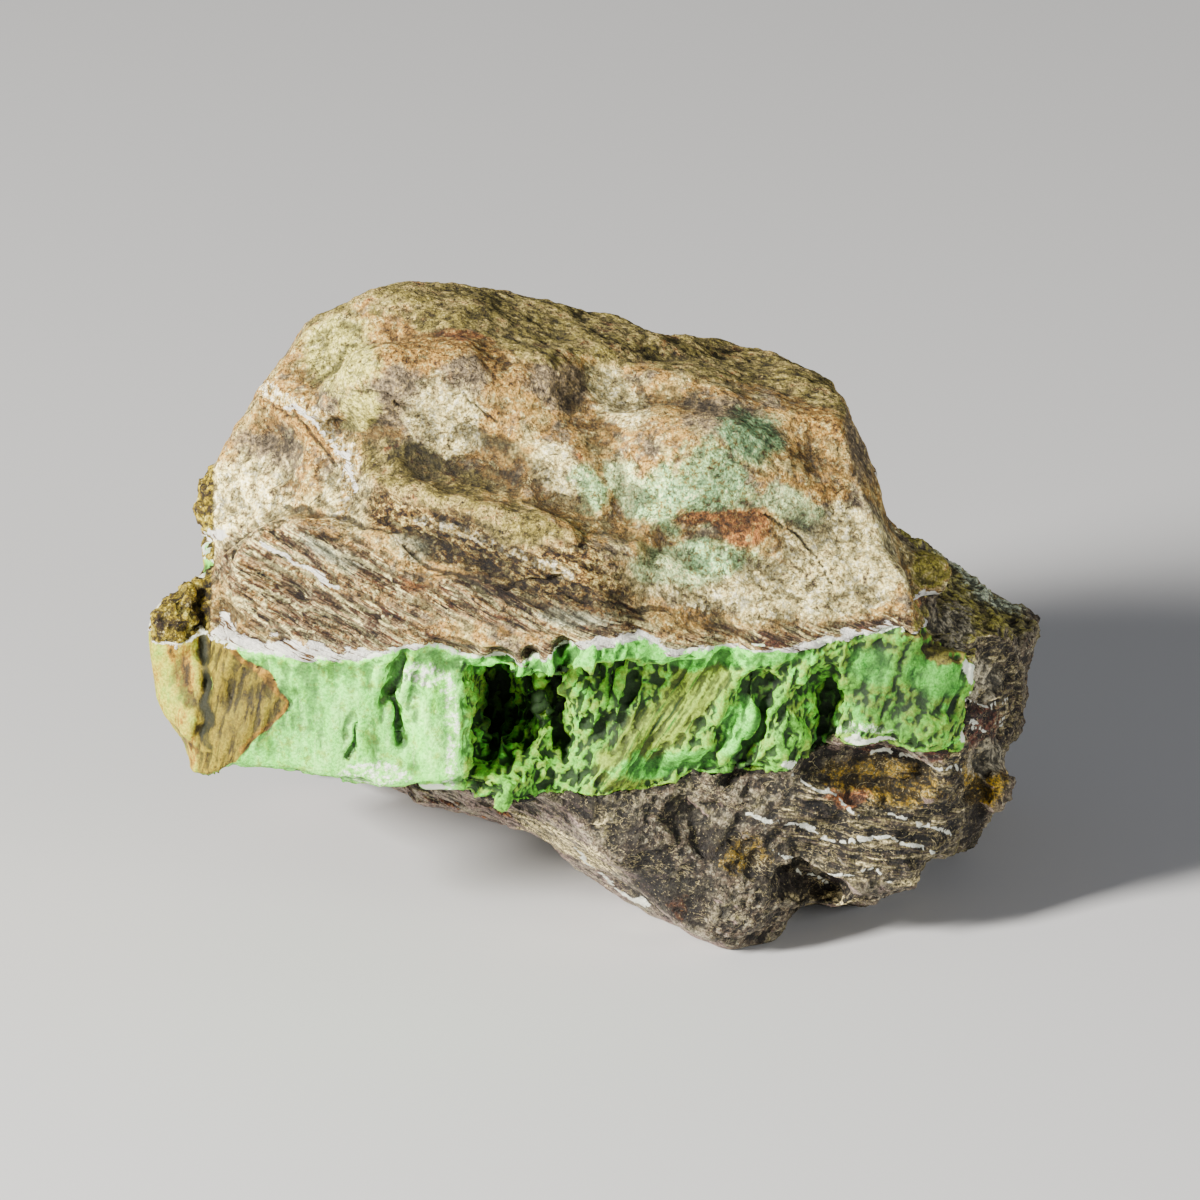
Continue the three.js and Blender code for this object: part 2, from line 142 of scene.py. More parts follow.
def trace(s, points, width, inner=0.3, outer=1.4):
    nearest = np.full(s["count"], 1e9)
    for (x1, u1), (x2, u2) in zip(points, points[1:]):
        dx, du = x2 - x1, u2 - u1
        t = np.clip(((s["across"] - x1) * dx + (s["up"] - u1) * du) / (dx * dx + du * du), 0, 1)
        nearest = np.minimum(nearest, np.hypot(s["across"] - x1 - t * dx, s["up"] - u1 - t * du))
    return (1 - smooth(nearest, width * inner, width * outer)) * s["seen"]


# The share of a named marking at each point, from its patches and lines.
def marking(s, design, name):
    shares = [np.zeros(s["count"])]
    shares += [spot(s, *patch) for patch in design["patches"].get(name, [])]
    shares += [trace(s, *line) for line in design["lines"].get(name, [])]
    return most(*shares)


# How far each point lies in a hollow, from 0 on a ridge to 1 in a pit, judged against its neighbours.
def hollows(piece, passes, depth):
    place, facing = pointsOf(piece)
    count = len(place)
    ends = np.empty(len(piece.data.edges) * 2, dtype=np.int32)
    piece.data.edges.foreach_get("vertices", ends)
    a, b = ends.reshape(-1, 2).T
    share = np.bincount(a, minlength=count) + np.bincount(b, minlength=count)
    level = place.copy()
    for step in range(passes):
        near = [np.bincount(a, level[b, axis], count) + np.bincount(b, level[a, axis], count)
                for axis in range(3)]
        level = 0.5 * level + 0.5 * (np.stack(near, axis=1) / share[:, None])
    return np.clip(0.5 + 0.5 * ((level - place) * facing).sum(axis=1) / (depth * mm), 0, 1)


def keepShare(piece, name, values):
    attribute = piece.data.attributes.new(name, "FLOAT", "POINT")
    attribute.data.foreach_set("value", np.ascontiguousarray(values, dtype=np.float32))


def holdTo(piece, values, levels=40):
    group = piece.vertex_groups.new(name="held")
    steps = np.rint(values * levels).astype(int)
    for step in range(1, levels + 1):
        members = np.nonzero(steps == step)[0]
        if len(members):
            group.add(members.tolist(), step / levels, "REPLACE")


# Relief from a texture. size is one number, or three for a grain that is stretched along its own axes and
# turned by dip, which tips it down to the right.
def relief(piece, kind, size, depth, held, dip=0.0, middle=0.5, **settings):
    texture = bpy.data.textures.new("relief", kind)
    for setting, value in settings.items():
        setattr(texture, setting, value)
    bpy.ops.object.empty_add(rotation=(0, math.radians(dip), 0))
    grain = bpy.context.object
    grain.scale = [s * mm for s in (size if isinstance(size, tuple) else (size, size, size))]
    bpy.context.view_layer.update()
    texture.noise_scale = 1.0
    holdTo(piece, held)
    applyModifier(piece, "DISPLACE", texture=texture, strength=depth * mm, mid_level=middle,
                  vertex_group="held",
                  texture_coords="OBJECT", texture_coords_object=grain)
    piece.vertex_groups.clear()
    bpy.data.objects.remove(grain)
    bpy.data.textures.remove(texture)


# A plain push: outwards where depth is positive, or along one axis.
def push(piece, depth, held, direction="NORMAL"):
    holdTo(piece, held, 80)
    applyModifier(piece, "DISPLACE", strength=depth * mm, mid_level=0.0, vertex_group="held",
                  direction=direction)
    piece.vertex_groups.clear()


def mergeDoubles(piece):
    onlySelect(piece)
    bpy.ops.object.mode_set(mode="EDIT")
    bpy.ops.mesh.select_all(action="SELECT")
    bpy.ops.mesh.remove_doubles(threshold=0.01 * mm)
    bpy.ops.mesh.normals_make_consistent(inside=False)
    bpy.ops.object.mode_set(mode="OBJECT")


# Where the band of ore begins and ends, as levels from the aim point, from the left end to the right.
band = {
    "top": [(-62, 6.5), (-57, 7.6), (-51, 7.6), (-44, 7.5), (-36, 7.2), (-31, 8.9), (-26, 9.6), (-20, 7),
            (-12, 7.2), (-3, 10.6), (6, 10.4), (11, 7.6), (16, 7.4), (24, 6.8), (34, 6.9), (44, 8), (49, 7.6),
            (55, 4.5), (62, 3)],
    "bottom": [(-62, -15.5), (-35, -15.5), (-25, -15.8), (-15, -16.5), (-6, -17), (6, -16), (24, -13.3),
               (31.5, -13), (34.5, -9.6), (45, -10.3), (54, -13.4), (62, -13)],
    # how far right it runs, front to back
    "rightEnd": [(-40, 56.5), (-30, 55), (-24, 47), (-14, 40), (40, 38)],
    # how thick the white crust along its top is
    "white": [(-58, 0.0), (-56, 2.2), (-36, 1.7), (-32, 0.5), (-20, 0.4), (-12, 0.2), (-5, 0.3), (1, 1.1),
              (10, 0.9), (18, 0.2), (28, 0.2), (32, 0.8), (43, 1.1), (45, 0)],
    "waver": 0.7,
    "overlap": 0.4,  # the pieces reach this far into each other, so that no gap shows between them
    "slab": {"left": -75, "right": 90, "halfDepth": 60, "top": 80, "steps": (200, 80)},
    "clear": 30,  # the slab that frees the rock below reaches this high, well past the band's top
}


def edgeOf(name, at):
    return along(band[name], at)


def edgeLevel(name, x, y):
    return edgeOf(name, x) + band["waver"] * wander(x, y, 0 * x, 7.0, len(name))


# A closed slab with wavy faces, to part the stone with.
def makeSlab(low, high, rightEnd):
    bpy.ops.object.select_all(action="DESELECT")
    size = band["slab"]
    bpy.ops.mesh.primitive_grid_add(x_subdivisions=size["steps"][0], y_subdivisions=size["steps"][1], size=2)
    slab = bpy.context.object
    bpy.ops.object.mode_set(mode="EDIT")
    bpy.ops.mesh.select_all(action="SELECT")
    bpy.ops.mesh.extrude_region_move(TRANSFORM_OT_translate={"value": (0, 0, 1)})
    bpy.ops.object.mode_set(mode="OBJECT")
    place = np.empty(len(slab.data.vertices) * 3)
    slab.data.vertices.foreach_get("co", place)
    u, v, w = place.reshape(-1, 3).T
    y = v * size["halfDepth"]
    x = size["left"] + (u + 1) / 2 * (rightEnd(y) - size["left"])
    z = camera["aim"][2] + np.where(w > 0.5, high(x, y), low(x, y))
    slab.data.vertices.foreach_set("co", (np.stack([x, y, z], axis=1) * mm).ravel())
    bpy.ops.object.mode_set(mode="EDIT")
    bpy.ops.mesh.select_all(action="SELECT")
    bpy.ops.mesh.normals_make_consistent(inside=False)
    bpy.ops.object.mode_set(mode="OBJECT")
    return slab


def partWith(piece, name, operation, slab):
    part = twin(piece, name)
    applyModifier(part, "BOOLEAN", operation=operation, object=slab, solver="MANIFOLD")
    return part


# The whole stone: a copy of the solid with its facets worn away, its recesses sunk and broad relief put on.
stone = {
    "voxel": 0.75, "wear": 6, "lumps": 1.8, "chips": 0.4,
    "drawnReach": 10.0,
    # (left, right, bottom, top) of what is drawn forward by up to that much, and how far forward it comes
    "drawn": [
        ((-27, -19.2, -14.5, 4), [(-27, -44.5), (-22, -43.5), (-19, -42.5)]),
        ((-38, -9, -17.5, -13.6), [(-38, -39.5), (-27, -41.5), (-15, -42), (-9, -38)]),
        ((-61.5, -55.5, -16, 3), [(-61.5, -37), (-58.5, -38.5), (-55.5, -41.5)]),
    ],
    "sunk": [  # (points, half width, depth) of recesses seen from the front
        ([(-14.6, -10.5), (-14.4, -20.5)], 3.0, 6.0),
        ([(-10.2, -8), (-10.6, -21)], 0.9, 3.4),
        ([(-5.2, -8), (-6.4, -23)], 1.9, 4.6),
        ([(25.5, -12.5), (22, -20), (19, -27)], 1.3, 2.6),
        ([(34, -14), (32.5, -22), (31, -25.5)], 2.0, 4.0),
        ([(-28.8, -8), (-30.2, -13), (-29.6, -21.5)], 0.9, 2.0),
        ([(-59.2, 1), (-58.8, -12), (-58.4, -20)], 0.7, 2.6),
        ([(-32, 10.5), (-22, 6.5), (-12, 3), (-2, 0.5)], 1.5, 2.4),
        ([(-30, 24), (-20, 21), (-12, 17), (-6, 14)], 5.0, 1.8),
        ([(-3, 31), (1, 22), (4.5, 14)], 3.0, 1.0),
        ([(29, -42.5), (33.5, -44)], 2.8, 8.0),
        ([(36, -25.5), (46, -26.5)], 3.6, 4.5),
        ([(12, -33), (19, -36.5), (24, -40)], 2.4, 1.6),
        ([(56.5, -20), (57, -38)], 1.6, 3.0),
        ([(59, -8), (62, -14)], 2.2, 2.0),
    ],
    "raised": [  # (points, half width, height) of ribs
        ([(-50.7, 32.2), (-42, 26.5), (-36, 20.5)], 3.2, 1.1),
        ([(-57, -5), (-50, -7), (-40, -8), (-34, -7.6)], 1.4, 0.7),
        ([(5, 9), (12, 9), (18, 6), (21, 9), (24, 7)], 1.6, 0.8),
        ([(-33, 17.5), (-24, 15), (-14, 12), (-5, 9.5)], 1.5, 1.3),
        ([(60, -28), (61, -30)], 3.0, 1.6),
    ],
}

whole = twin(rockNode, "wholeStone")
whole.parent = None
whole.data.materials.clear()
mergeDoubles(whole)
applyModifier(whole, "REMESH", mode="VOXEL", voxel_size=stone["voxel"] * mm)
applyModifier(whole, "SMOOTH", factor=0.5, iterations=stone["wear"])
for (left, right, bottom, top), front in stone["drawn"]:
    s = readSurface(whole)
    within = smooth(s["x"], left - 1, left + 1) * (1 - smooth(s["x"], right - 0.5, right + 0.5))
    within = within * (s["y"] < -20)
    within = within * smooth(s["level"], bottom - 1.5, bottom) * (1 - smooth(s["level"], top, top + 2))
    behind = np.clip((s["y"] - along(front, s["x"])) / stone["drawnReach"], 0, 1)
    push(whole, -stone["drawnReach"], within * behind, "Y")
s = readSurface(whole)
for points, width, depth in stone["sunk"]:
    push(whole, depth, trace(s, points, width, 0.6, 1.25), "Y")
for points, width, height in stone["raised"]:
    push(whole, height, trace(s, points, width))
applyModifier(whole, "REMESH", mode="VOXEL", voxel_size=stone["voxel"] * mm)
s = readSurface(whole)
offGround = smooth(s["z"], 0.4, 3.0)
onBand = smooth(s["level"], -17, -12) * (1 - smooth(s["level"], 5, 9)) * s["seen"]
relief(whole, "CLOUDS", 9.0, stone["lumps"], offGround * (1 - 0.7 * onBand), noise_depth=4,
       noise_basis="IMPROVED_PERLIN")
relief(whole, "VORONOI", 6.0, stone["chips"], offGround * (1 - 0.8 * onBand),
       distance_metric="DISTANCE_SQUARED")
print("whole stone:", len(whole.data.polygons), "faces")

overlap = band["overlap"]
wideTop = lambda x, y: band["slab"]["top"] + 0 * x
wideEnd = lambda y: band["slab"]["right"] + 0 * y
topEdge = lambda x, y: edgeLevel("top", x, y)
bottomEdge = lambda x, y: edgeLevel("bottom", x, y)
bandEnd = lambda y: edgeOf("rightEnd", y) + wander(y, y, 0 * y, 5.0, 9)
aboveSlab = makeSlab(topEdge, wideTop, wideEnd)
aboveWide = makeSlab(lambda x, y: topEdge(x, y) - overlap, wideTop, wideEnd)
bandSlab = makeSlab(bottomEdge, lambda x, y: band["clear"] + 0 * x, bandEnd)
bandWide = makeSlab(lambda x, y: bottomEdge(x, y) - overlap, lambda x, y: topEdge(x, y) + overlap,
                    lambda y: bandEnd(y) + overlap)
upperRock = partWith(whole, "upperRock", "INTERSECT", aboveWide)
rest = partWith(whole, "rest", "DIFFERENCE", aboveSlab)
lowerRock = partWith(rest, "lowerRock", "DIFFERENCE", bandSlab)
oreBand = partWith(whole, "oreBand", "INTERSECT", bandWide)
for spent in (whole, rest, aboveSlab, aboveWide, bandSlab, bandWide):
    bpy.data.objects.remove(spent)
print("parted into", [len(piece.data.polygons) for piece in (upperRock, oreBand, lowerRock)])


# Crumbs that hang loose in the air are taken away: what is joined to the main body stays.
def dropCrumbs(piece):
    onlySelect(piece)
    count = len(piece.data.vertices)
    for start in range(0, count, count // 20):  # a point of the main body is met at once, or soon
        bpy.ops.object.mode_set(mode="EDIT")
        bpy.ops.mesh.select_all(action="DESELECT")
        bpy.ops.object.mode_set(mode="OBJECT")
        piece.data.vertices[start].select = True
        bpy.ops.object.mode_set(mode="EDIT")
        bpy.ops.mesh.select_linked()
        bpy.ops.object.mode_set(mode="OBJECT")
        chosen = np.empty(count, dtype=bool)
        piece.data.vertices.foreach_get("select", chosen)
        if chosen.sum() > count / 2:
            break
    bpy.ops.object.mode_set(mode="EDIT")
    bpy.ops.mesh.select_all(action="INVERT")
    bpy.ops.mesh.delete(type="VERT")
    bpy.ops.object.mode_set(mode="OBJECT")
    print(piece.name, "loses", count - len(piece.data.vertices), "loose points")


# Fewer triangles where the surface is plain, down to what a piece may have.
def thin(piece, most):
    dropCrumbs(piece)
    piece.data.calc_loop_triangles()
    now = len(piece.data.loop_triangles)
    if now > most:
        applyModifier(piece, "TRIANGULATE")
        applyModifier(piece, "DECIMATE", ratio=most / now)
    bpy.ops.object.mode_set(mode="EDIT")
    bpy.ops.mesh.select_all(action="SELECT")
    bpy.ops.mesh.dissolve_degenerate(threshold=0.01 * mm)
    bpy.ops.mesh.quads_convert_to_tris()
    bpy.ops.object.mode_set(mode="OBJECT")
    piece.data.calc_loop_triangles()
    print(piece.name, "had", now, "triangles and keeps", len(piece.data.loop_triangles))


# A colour as it should look, made vivid enough to stay so under the studio lights.
def paint(code, vivid=1.25):
    light = [int(code[k:k + 2], 16) / 255 for k in (0, 2, 4)]
    light = [v / 12.92 if v < 0.04045 else ((v + 0.055) / 1.055) ** 2.4 for v in light]
    grey = 0.21 * light[0] + 0.72 * light[1] + 0.07 * light[2]
    return tuple(min(max(grey + (v - grey) * vivid, 0.002), 1.0) for v in light)


# A material is built from noises at the real sizes of the grain, and from the shares kept on the points.
class Graph:
    def __init__(self, name, colours):
        self.material = bpy.data.materials.new(name)
        self.material.use_nodes = True
        self.tree = self.material.node_tree
        self.shader = self.tree.nodes["Principled BSDF"]
        self.place = self.add("TexCoord").outputs["Object"]
        self.colours = {key: paint(code) for key, code in colours.items()}

    def add(self, kind, inputs=None, **settings):
        node = self.tree.nodes.new("ShaderNode" + kind)
        for setting, value in settings.items():
            setattr(node, setting, value)
        for key, value in (inputs or {}).items():
            self.put(value, node.inputs[key])
        return node

    def put(self, value, socket):
        if isinstance(value, str):
            value = self.colours[value]
        if hasattr(value, "is_output"):
            self.tree.links.new(value, socket)
        elif hasattr(socket.default_value, "__len__") and len(socket.default_value) == 4:
            socket.default_value = (*value, 1.0)
        else:
            socket.default_value = value

    def share(self, name):
        return self.add("Attribute", attribute_name=name).outputs["Fac"]

    # size is the size of a grain: one number, or three for a stretched grain, turned down to the right by dip
    def where(self, size, dip=0.0, shift=0.0):
        stretch = size if isinstance(size, tuple) else (size, size, size)
        return self.add("Mapping", {
            "Vector": self.place, "Location": (shift * mm, 0.0, 0.0),
            "Rotation": (0.0, math.radians(dip), 0.0), "Scale": tuple(v * mm for v in stretch),
        }, vector_type="TEXTURE").outputs["Vector"]

    def noise(self, size, detail=5.0, rough=0.62, warp=0.0, dip=0.0, shift=0.0):
        return self.add("TexNoise", {
            "Vector": self.where(size, dip, shift), "Scale": 1.0, "Detail": detail, "Roughness": rough,
            "Distortion": warp,
        }).outputs["Fac"]

    def span(self, value, low, high, start=0.0, end=1.0):
        return self.add("MapRange",
                        {"Value": value, "From Min": low, "From Max": high, "To Min": start, "To Max": end},
                        interpolation_type="SMOOTHSTEP").outputs["Result"]

    def sum(self, a, b, operation="ADD"):
        return self.add("Math", {0: a, 1: b}, operation=operation).outputs[0]

    def times(self, a, b):
        return self.sum(a, b, "MULTIPLY")

    # a share with its edge broken up by a noise
    def ragged(self, share, breaker, spread=2.2, width=0.28):
        share = self.share(share) if isinstance(share, str) else share
        pushed = self.sum(share, self.times(self.sum(breaker, 0.5, "SUBTRACT"), spread))
        inside = self.span(share, 0.02, 0.2)
        return self.times(self.span(pushed, 0.5 - width, 0.5 + width), inside)

    def mix(self, amount, under, over):
        node = self.add("Mix", data_type="RGBA")
        for value, key in ((amount, 0), (under, 6), (over, 7)):
            self.put(value, node.inputs[key])
        return node.outputs[2]

    def ramp(self, amount, stops):
        node = self.add("ValToRGB", {"Fac": amount})
        points = node.color_ramp.elements
        for step in range(len(stops) - 2):
            points.new(0.5)
        for point, (at, colour) in zip(points, stops):
            point.position = at
            point.color = (*self.colours[colour], 1.0)
        return node.outputs["Color"]

    # thin dark lines that wander over the surface, broken off here and there
    def creases(self, size, width=0.012, shift=0.0, dip=0.0):
        away = self.sum(self.sum(self.noise(size, 4, 0.6, 0.6, dip, shift), 0.5, "SUBTRACT"), 0.0, "ABSOLUTE")
        size = size[0] if isinstance(size, tuple) else size
        return self.times(self.span(away, width, width * 0.35),
                          self.span(self.noise(size * 1.3, 3, shift=shift + 11), 0.46, 0.54))

    # the same colour, so many times as light
    def toned(self, colour, light):
        node = self.add("VectorMath", {0: colour}, operation="SCALE")
        self.put(light, node.inputs["Scale"])
        return node.outputs[0]

    # painted shade in the hollows and broad dips, ridges painted lighter as wear and highlight, and a grain
    # that is lighter and darker
    def shadeAndWear(self, colour, grain, deep=0.45, high=1.3, contrast=0.9):
        hollowShade = self.span(self.share("hollowShade"), 0.25, 0.8, high, deep)
        dip = self.span(self.share("dip"), 0.4, 0.9, 1.1, 0.62)
        light = self.times(self.times(hollowShade, dip),
                           self.span(grain, 0.34, 0.66, 1 - contrast / 2, 1 + contrast / 2))
        return self.toned(colour, light)

    def finish(self, colour, rough, height, deep, reach):
        self.tree.links.new(colour, self.shader.inputs["Base Color"])
        self.put(rough, self.shader.inputs["Roughness"])
        bump = self.add("Bump", {"Height": height, "Strength": deep, "Distance": reach * mm})
        self.tree.links.new(bump.outputs["Normal"], self.shader.inputs["Normal"])
        return self.material


# The rock above the band.
upper = {
    "voxel": 0.42, "triangles": 190000,
    "relief": {"rough": 0.9, "creases": 0.5, "grain": 0.14, "crust": 0.45, "ledges": 1.5, "fineLedges": 0.9,
               "crinkle": 1.5},
    "layerDip": 22.0,
    # the front edge of the top
    "crest": [(-50, 38), (-45, 40.5), (-38, 43), (-30, 42), (-25.5, 39.8), (-19.5, 40.5), (-13.5, 38),
              (-8, 35), (0, 34.5), (6, 35), (15, 33.5), (21, 32), (30, 30.7), (37.5, 27), (45, 15)],
    "patches": {
        # patches painted lighter, as painted light
        "bright": [(-53, 13, 9, 9, 0), (1.5, 31, 4, 6, -30), (4, 16.5, 2.8, 6, -20), (16, 6, 6, 3, 0),
                   (10, 16, 4, 6, 0), (-5, 31, 5, 4, 0)],
        "pale": [(-54, 13, 9, 9, 0), (1.5, 31, 3.2, 5, -30), (5, 28, 3, 3, 0), (-23, 27, 6, 6, 0),
                 (23, 2, 18, 5, 6), (-37, 15, 5, 5, 0), (36, 6, 10, 8, 0), (-6, 19, 3, 5, -30),
                 (8, 4, 6, 3, 0)],
        "ochre": [(-24, 36, 13, 6, 12), (-45, 27, 9, 2.5, 40), (-59, 7, 2.5, 4, 0), (-20, 28, 7, 3, 20),
                  (33, 27, 4, 3, 30), (34, 16, 3, 2, 30), (38, 5, 4, 2, 0)],
        "mauve": [(-6, 32, 5, 4, 20), (-30, 30, 6, 5, 0), (40, 25, 4, 8, 0), (-50, 22, 6, 3, 30),
                  (-20, 33, 4, 4, 0), (20, 26, 8, 4, 20), (34, 10, 5, 4, 30), (14, 1, 8, 2, 4)],
        "green": [(9.5, 15, 3.5, 5.5, 0), (16.5, 17, 7, 6, 0), (17, 6.5, 6, 2.6, 0), (-2, 17, 2.5, 4, -20),
                  (22, 24, 5, 4, 0)],
        "mint": [(4.2, 16.5, 2.3, 5.5, -20), (12, 5, 8, 3, 0), (28, 14, 5, 3, 30)],
        "yellowGreen": [(-39, 37, 6, 7, 0), (-36, 28, 3, 3, 0)],
        "rust": [(21, 11, 4.6, 3.0, 10), (14.5, 12.0, 4, 0.9, -12), (-3.5, 21.3, 0.7, 0.7, 0),
                 (-27, 2, 6, 1.0, 22), (-36, 4, 6, 0.8, 24), (-22, 40, 5, 1.5, 12), (5, -4, 3, 0.8, 0)],
        "bench": [(-26, 18, 12, 4, 22), (-12, 11, 8, 3, 18)],
        "gold": [(-14, 8, 20, 6, 20), (-30, 14, 5, 5, 30)],
        "wedge": [(-42, 1.5, 17, 9, 18), (-10, -1, 18, 4, 6)],
        # patches painted darker, as painted shade
        "dusk": [(-10, 1.5, 13, 3.5, 12), (-18, 8, 10, 4, 18), (-13, 20, 8, 2.5, 25), (31, 11, 4, 3, 30),
                 (-26, 20, 6, 3, 20)],
        "grey": [(-4, -2.5, 6, 1.2, 0), (-28, 8, 3.5, 2, 15), (-40, 7, 5, 1.2, 25)],
        "white": [(-41.2, 2.6, 1.6, 0.7, 28), (-57, 10, 1.6, 1.2, 0)],
    },
    "lines": {
        "streak": [([(-50.7, 32.2), (-42, 26.5), (-36, 20.5), (-38.5, 12)], 1.1),
                   ([(-27, 12), (-16, 9), (-5, 4)], 0.8)],
        "white": [([(-50, 8), (-45, 4.8), (-38.3, 1.5)], 0.3),
                  ([(-47, 29), (-42, 25.6), (-37, 21), (-36, 17)], 0.3)],
        "wisp": [([(-54, 4), (-48, 0.5), (-40, -3)], 0.25),
                 ([(-42, 9), (-34, 5), (-27, 0), (-22, -3.5)], 0.3),
                 ([(-34, 12), (-26, 7), (-19, 2), (-14, -2)], 0.3), ([(-36, 16), (-30, 8), (-24, 4)], 0.25),
                 ([(-52, 7), (-46, 4), (-36, -1), (-30, -5)], 0.25),
                 ([(-56, 1), (-48, -3), (-42, -5)], 0.25)],
        "crack": [([(-50, 30), (-44, 25.5), (-38.5, 20)], 0.25), ([(-24, 4), (-14, 2.5), (-6, 3)], 0.3),
                  ([(-36, 30.5), (-31.5, 30), (-29, 27.5)], 0.2), ([(-20, 30), (-15, 26)], 0.18),
                  ([(24, 12), (30, 9), (34, 3)], 0.2), ([(-47, 13.5), (-38, 12), (-30, 10)], 0.4),
                  ([(-30, 8), (-22, 4), (-14, 0)], 0.3), ([(-8, 1.5), (2, -1), (10, -1.5)], 0.25),
                  ([(-54, 9), (-46, 12)], 0.3)],
    },
    "colours": {
        "mauve": "7b6f5b", "mauveDark": "463c2f", "tan": "a28656", "beige": "b4a474", "cream": "dcd2a0",
        "ochre": "a07d4c", "olive": "827748", "oliveDark": "4a4126", "brown": "5a4228", "rust": "84583a",
        "green": "7fae80", "mint": "bcd2a0", "yellowGreen": "b8b272", "gold": "8f7446", "goldPale": "d2c088",
        "layerDark": "40261e", "layerTan": "9c7c58", "layerGrey": "8c8a70", "white": "fbf9ee",
        "greyWhite": "b8bea4", "pit": "20170f", "shoulder": "8c864a", "sponge": "8a7a36",
        "spongeDark": "3c3212",
    },
}


def upperShares(s):
    above = s["level"] - edgeOf("top", s["x"])
    shares = {name: marking(s, upper, name) for name in {**upper["patches"], **upper["lines"]}}
    facingUp = s["nz"] + 0.12 * wander(s["x"], s["y"], s["z"], 8, 5)
    crust = smooth(facingUp, 0.45, 0.8) * smooth(s["level"], 14, 20)
    crestUp = along(upper["crest"], s["across"])
    crust = crust * smooth(s["up"] - crestUp, -1.2, 0.8)
    shares["crust"] = most(crust, shares.pop("bench")) * (1 - 0.9 * shares["streak"])
    shares["gold"] = shares["gold"] * (1 - shares["crust"])
    beside = smooth(s["x"], 45.5, 47.5) * (1 - smooth(s["level"], 11, 14))
    shares["shoulder"] = beside * smooth(s["nz"], 0.2, 0.5)
    layered = most(shares.pop("wedge"), 0.75 * shares["gold"], 0.8 - smooth(above, 1.0, 5))
    shares["sponge"] = smooth(-s["x"], 57.0, 58.2)
    shares["layered"] = layered * (1 - most(shares["shoulder"], shares["sponge"]))
    thick = edgeOf("white", s["x"]) * (1 + 0.5 * wander(s["x"], s["y"], s["z"], 3, 8))
    shares["margin"] = most(1 - smooth(above, 0.6 * thick, 1.4 * thick), shares["white"])
    return shares


applyModifier(upperRock, "REMESH", mode="VOXEL", voxel_size=upper["voxel"] * mm)
applyModifier(upperRock, "SMOOTH", factor=0.5, iterations=1)
shares = upperShares(readSurface(upperRock))
plain = 1 - 0.6 * shares["layered"]
held, dip = upper["relief"], upper["layerDip"]
everywhere = 0 * plain + 1
push(upperRock, -0.5, shares["crack"])
relief(upperRock, "CLOUDS", 5.0, held["rough"], plain, noise_depth=5, noise_basis="IMPROVED_PERLIN")
relief(upperRock, "CLOUDS", 3.2, held["creases"], plain, noise_depth=4, noise_type="HARD_NOISE")
relief(upperRock, "CLOUDS", 2.0, 2.0, shares["sponge"], middle=0.6, noise_depth=3, contrast=1.6)
relief(upperRock, "CLOUDS", 0.9, held["grain"], everywhere, noise_depth=2)
relief(upperRock, "CLOUDS", 1.2, held["crust"], shares["crust"], noise_depth=3)
relief(upperRock, "CLOUDS", (12, 9, 2.2), held["ledges"], shares["layered"], dip, noise_depth=3, contrast=2.0)
relief(upperRock, "CLOUDS", (6, 5, 1.0), held["fineLedges"], shares["layered"], dip, noise_depth=3,
       contrast=1.6)
relief(upperRock, "CLOUDS", (2.4, 2.4, 1.3), held["crinkle"], shares["gold"], dip, noise_depth=4)
thin(upperRock, upper["triangles"])
for name, values in upperShares(readSurface(upperRock)).items():
    keepShare(upperRock, name, values)
keepShare(upperRock, "hollowShade", hollows(upperRock, 4, 0.12))
keepShare(upperRock, "dip", hollows(upperRock, 40, 0.7))


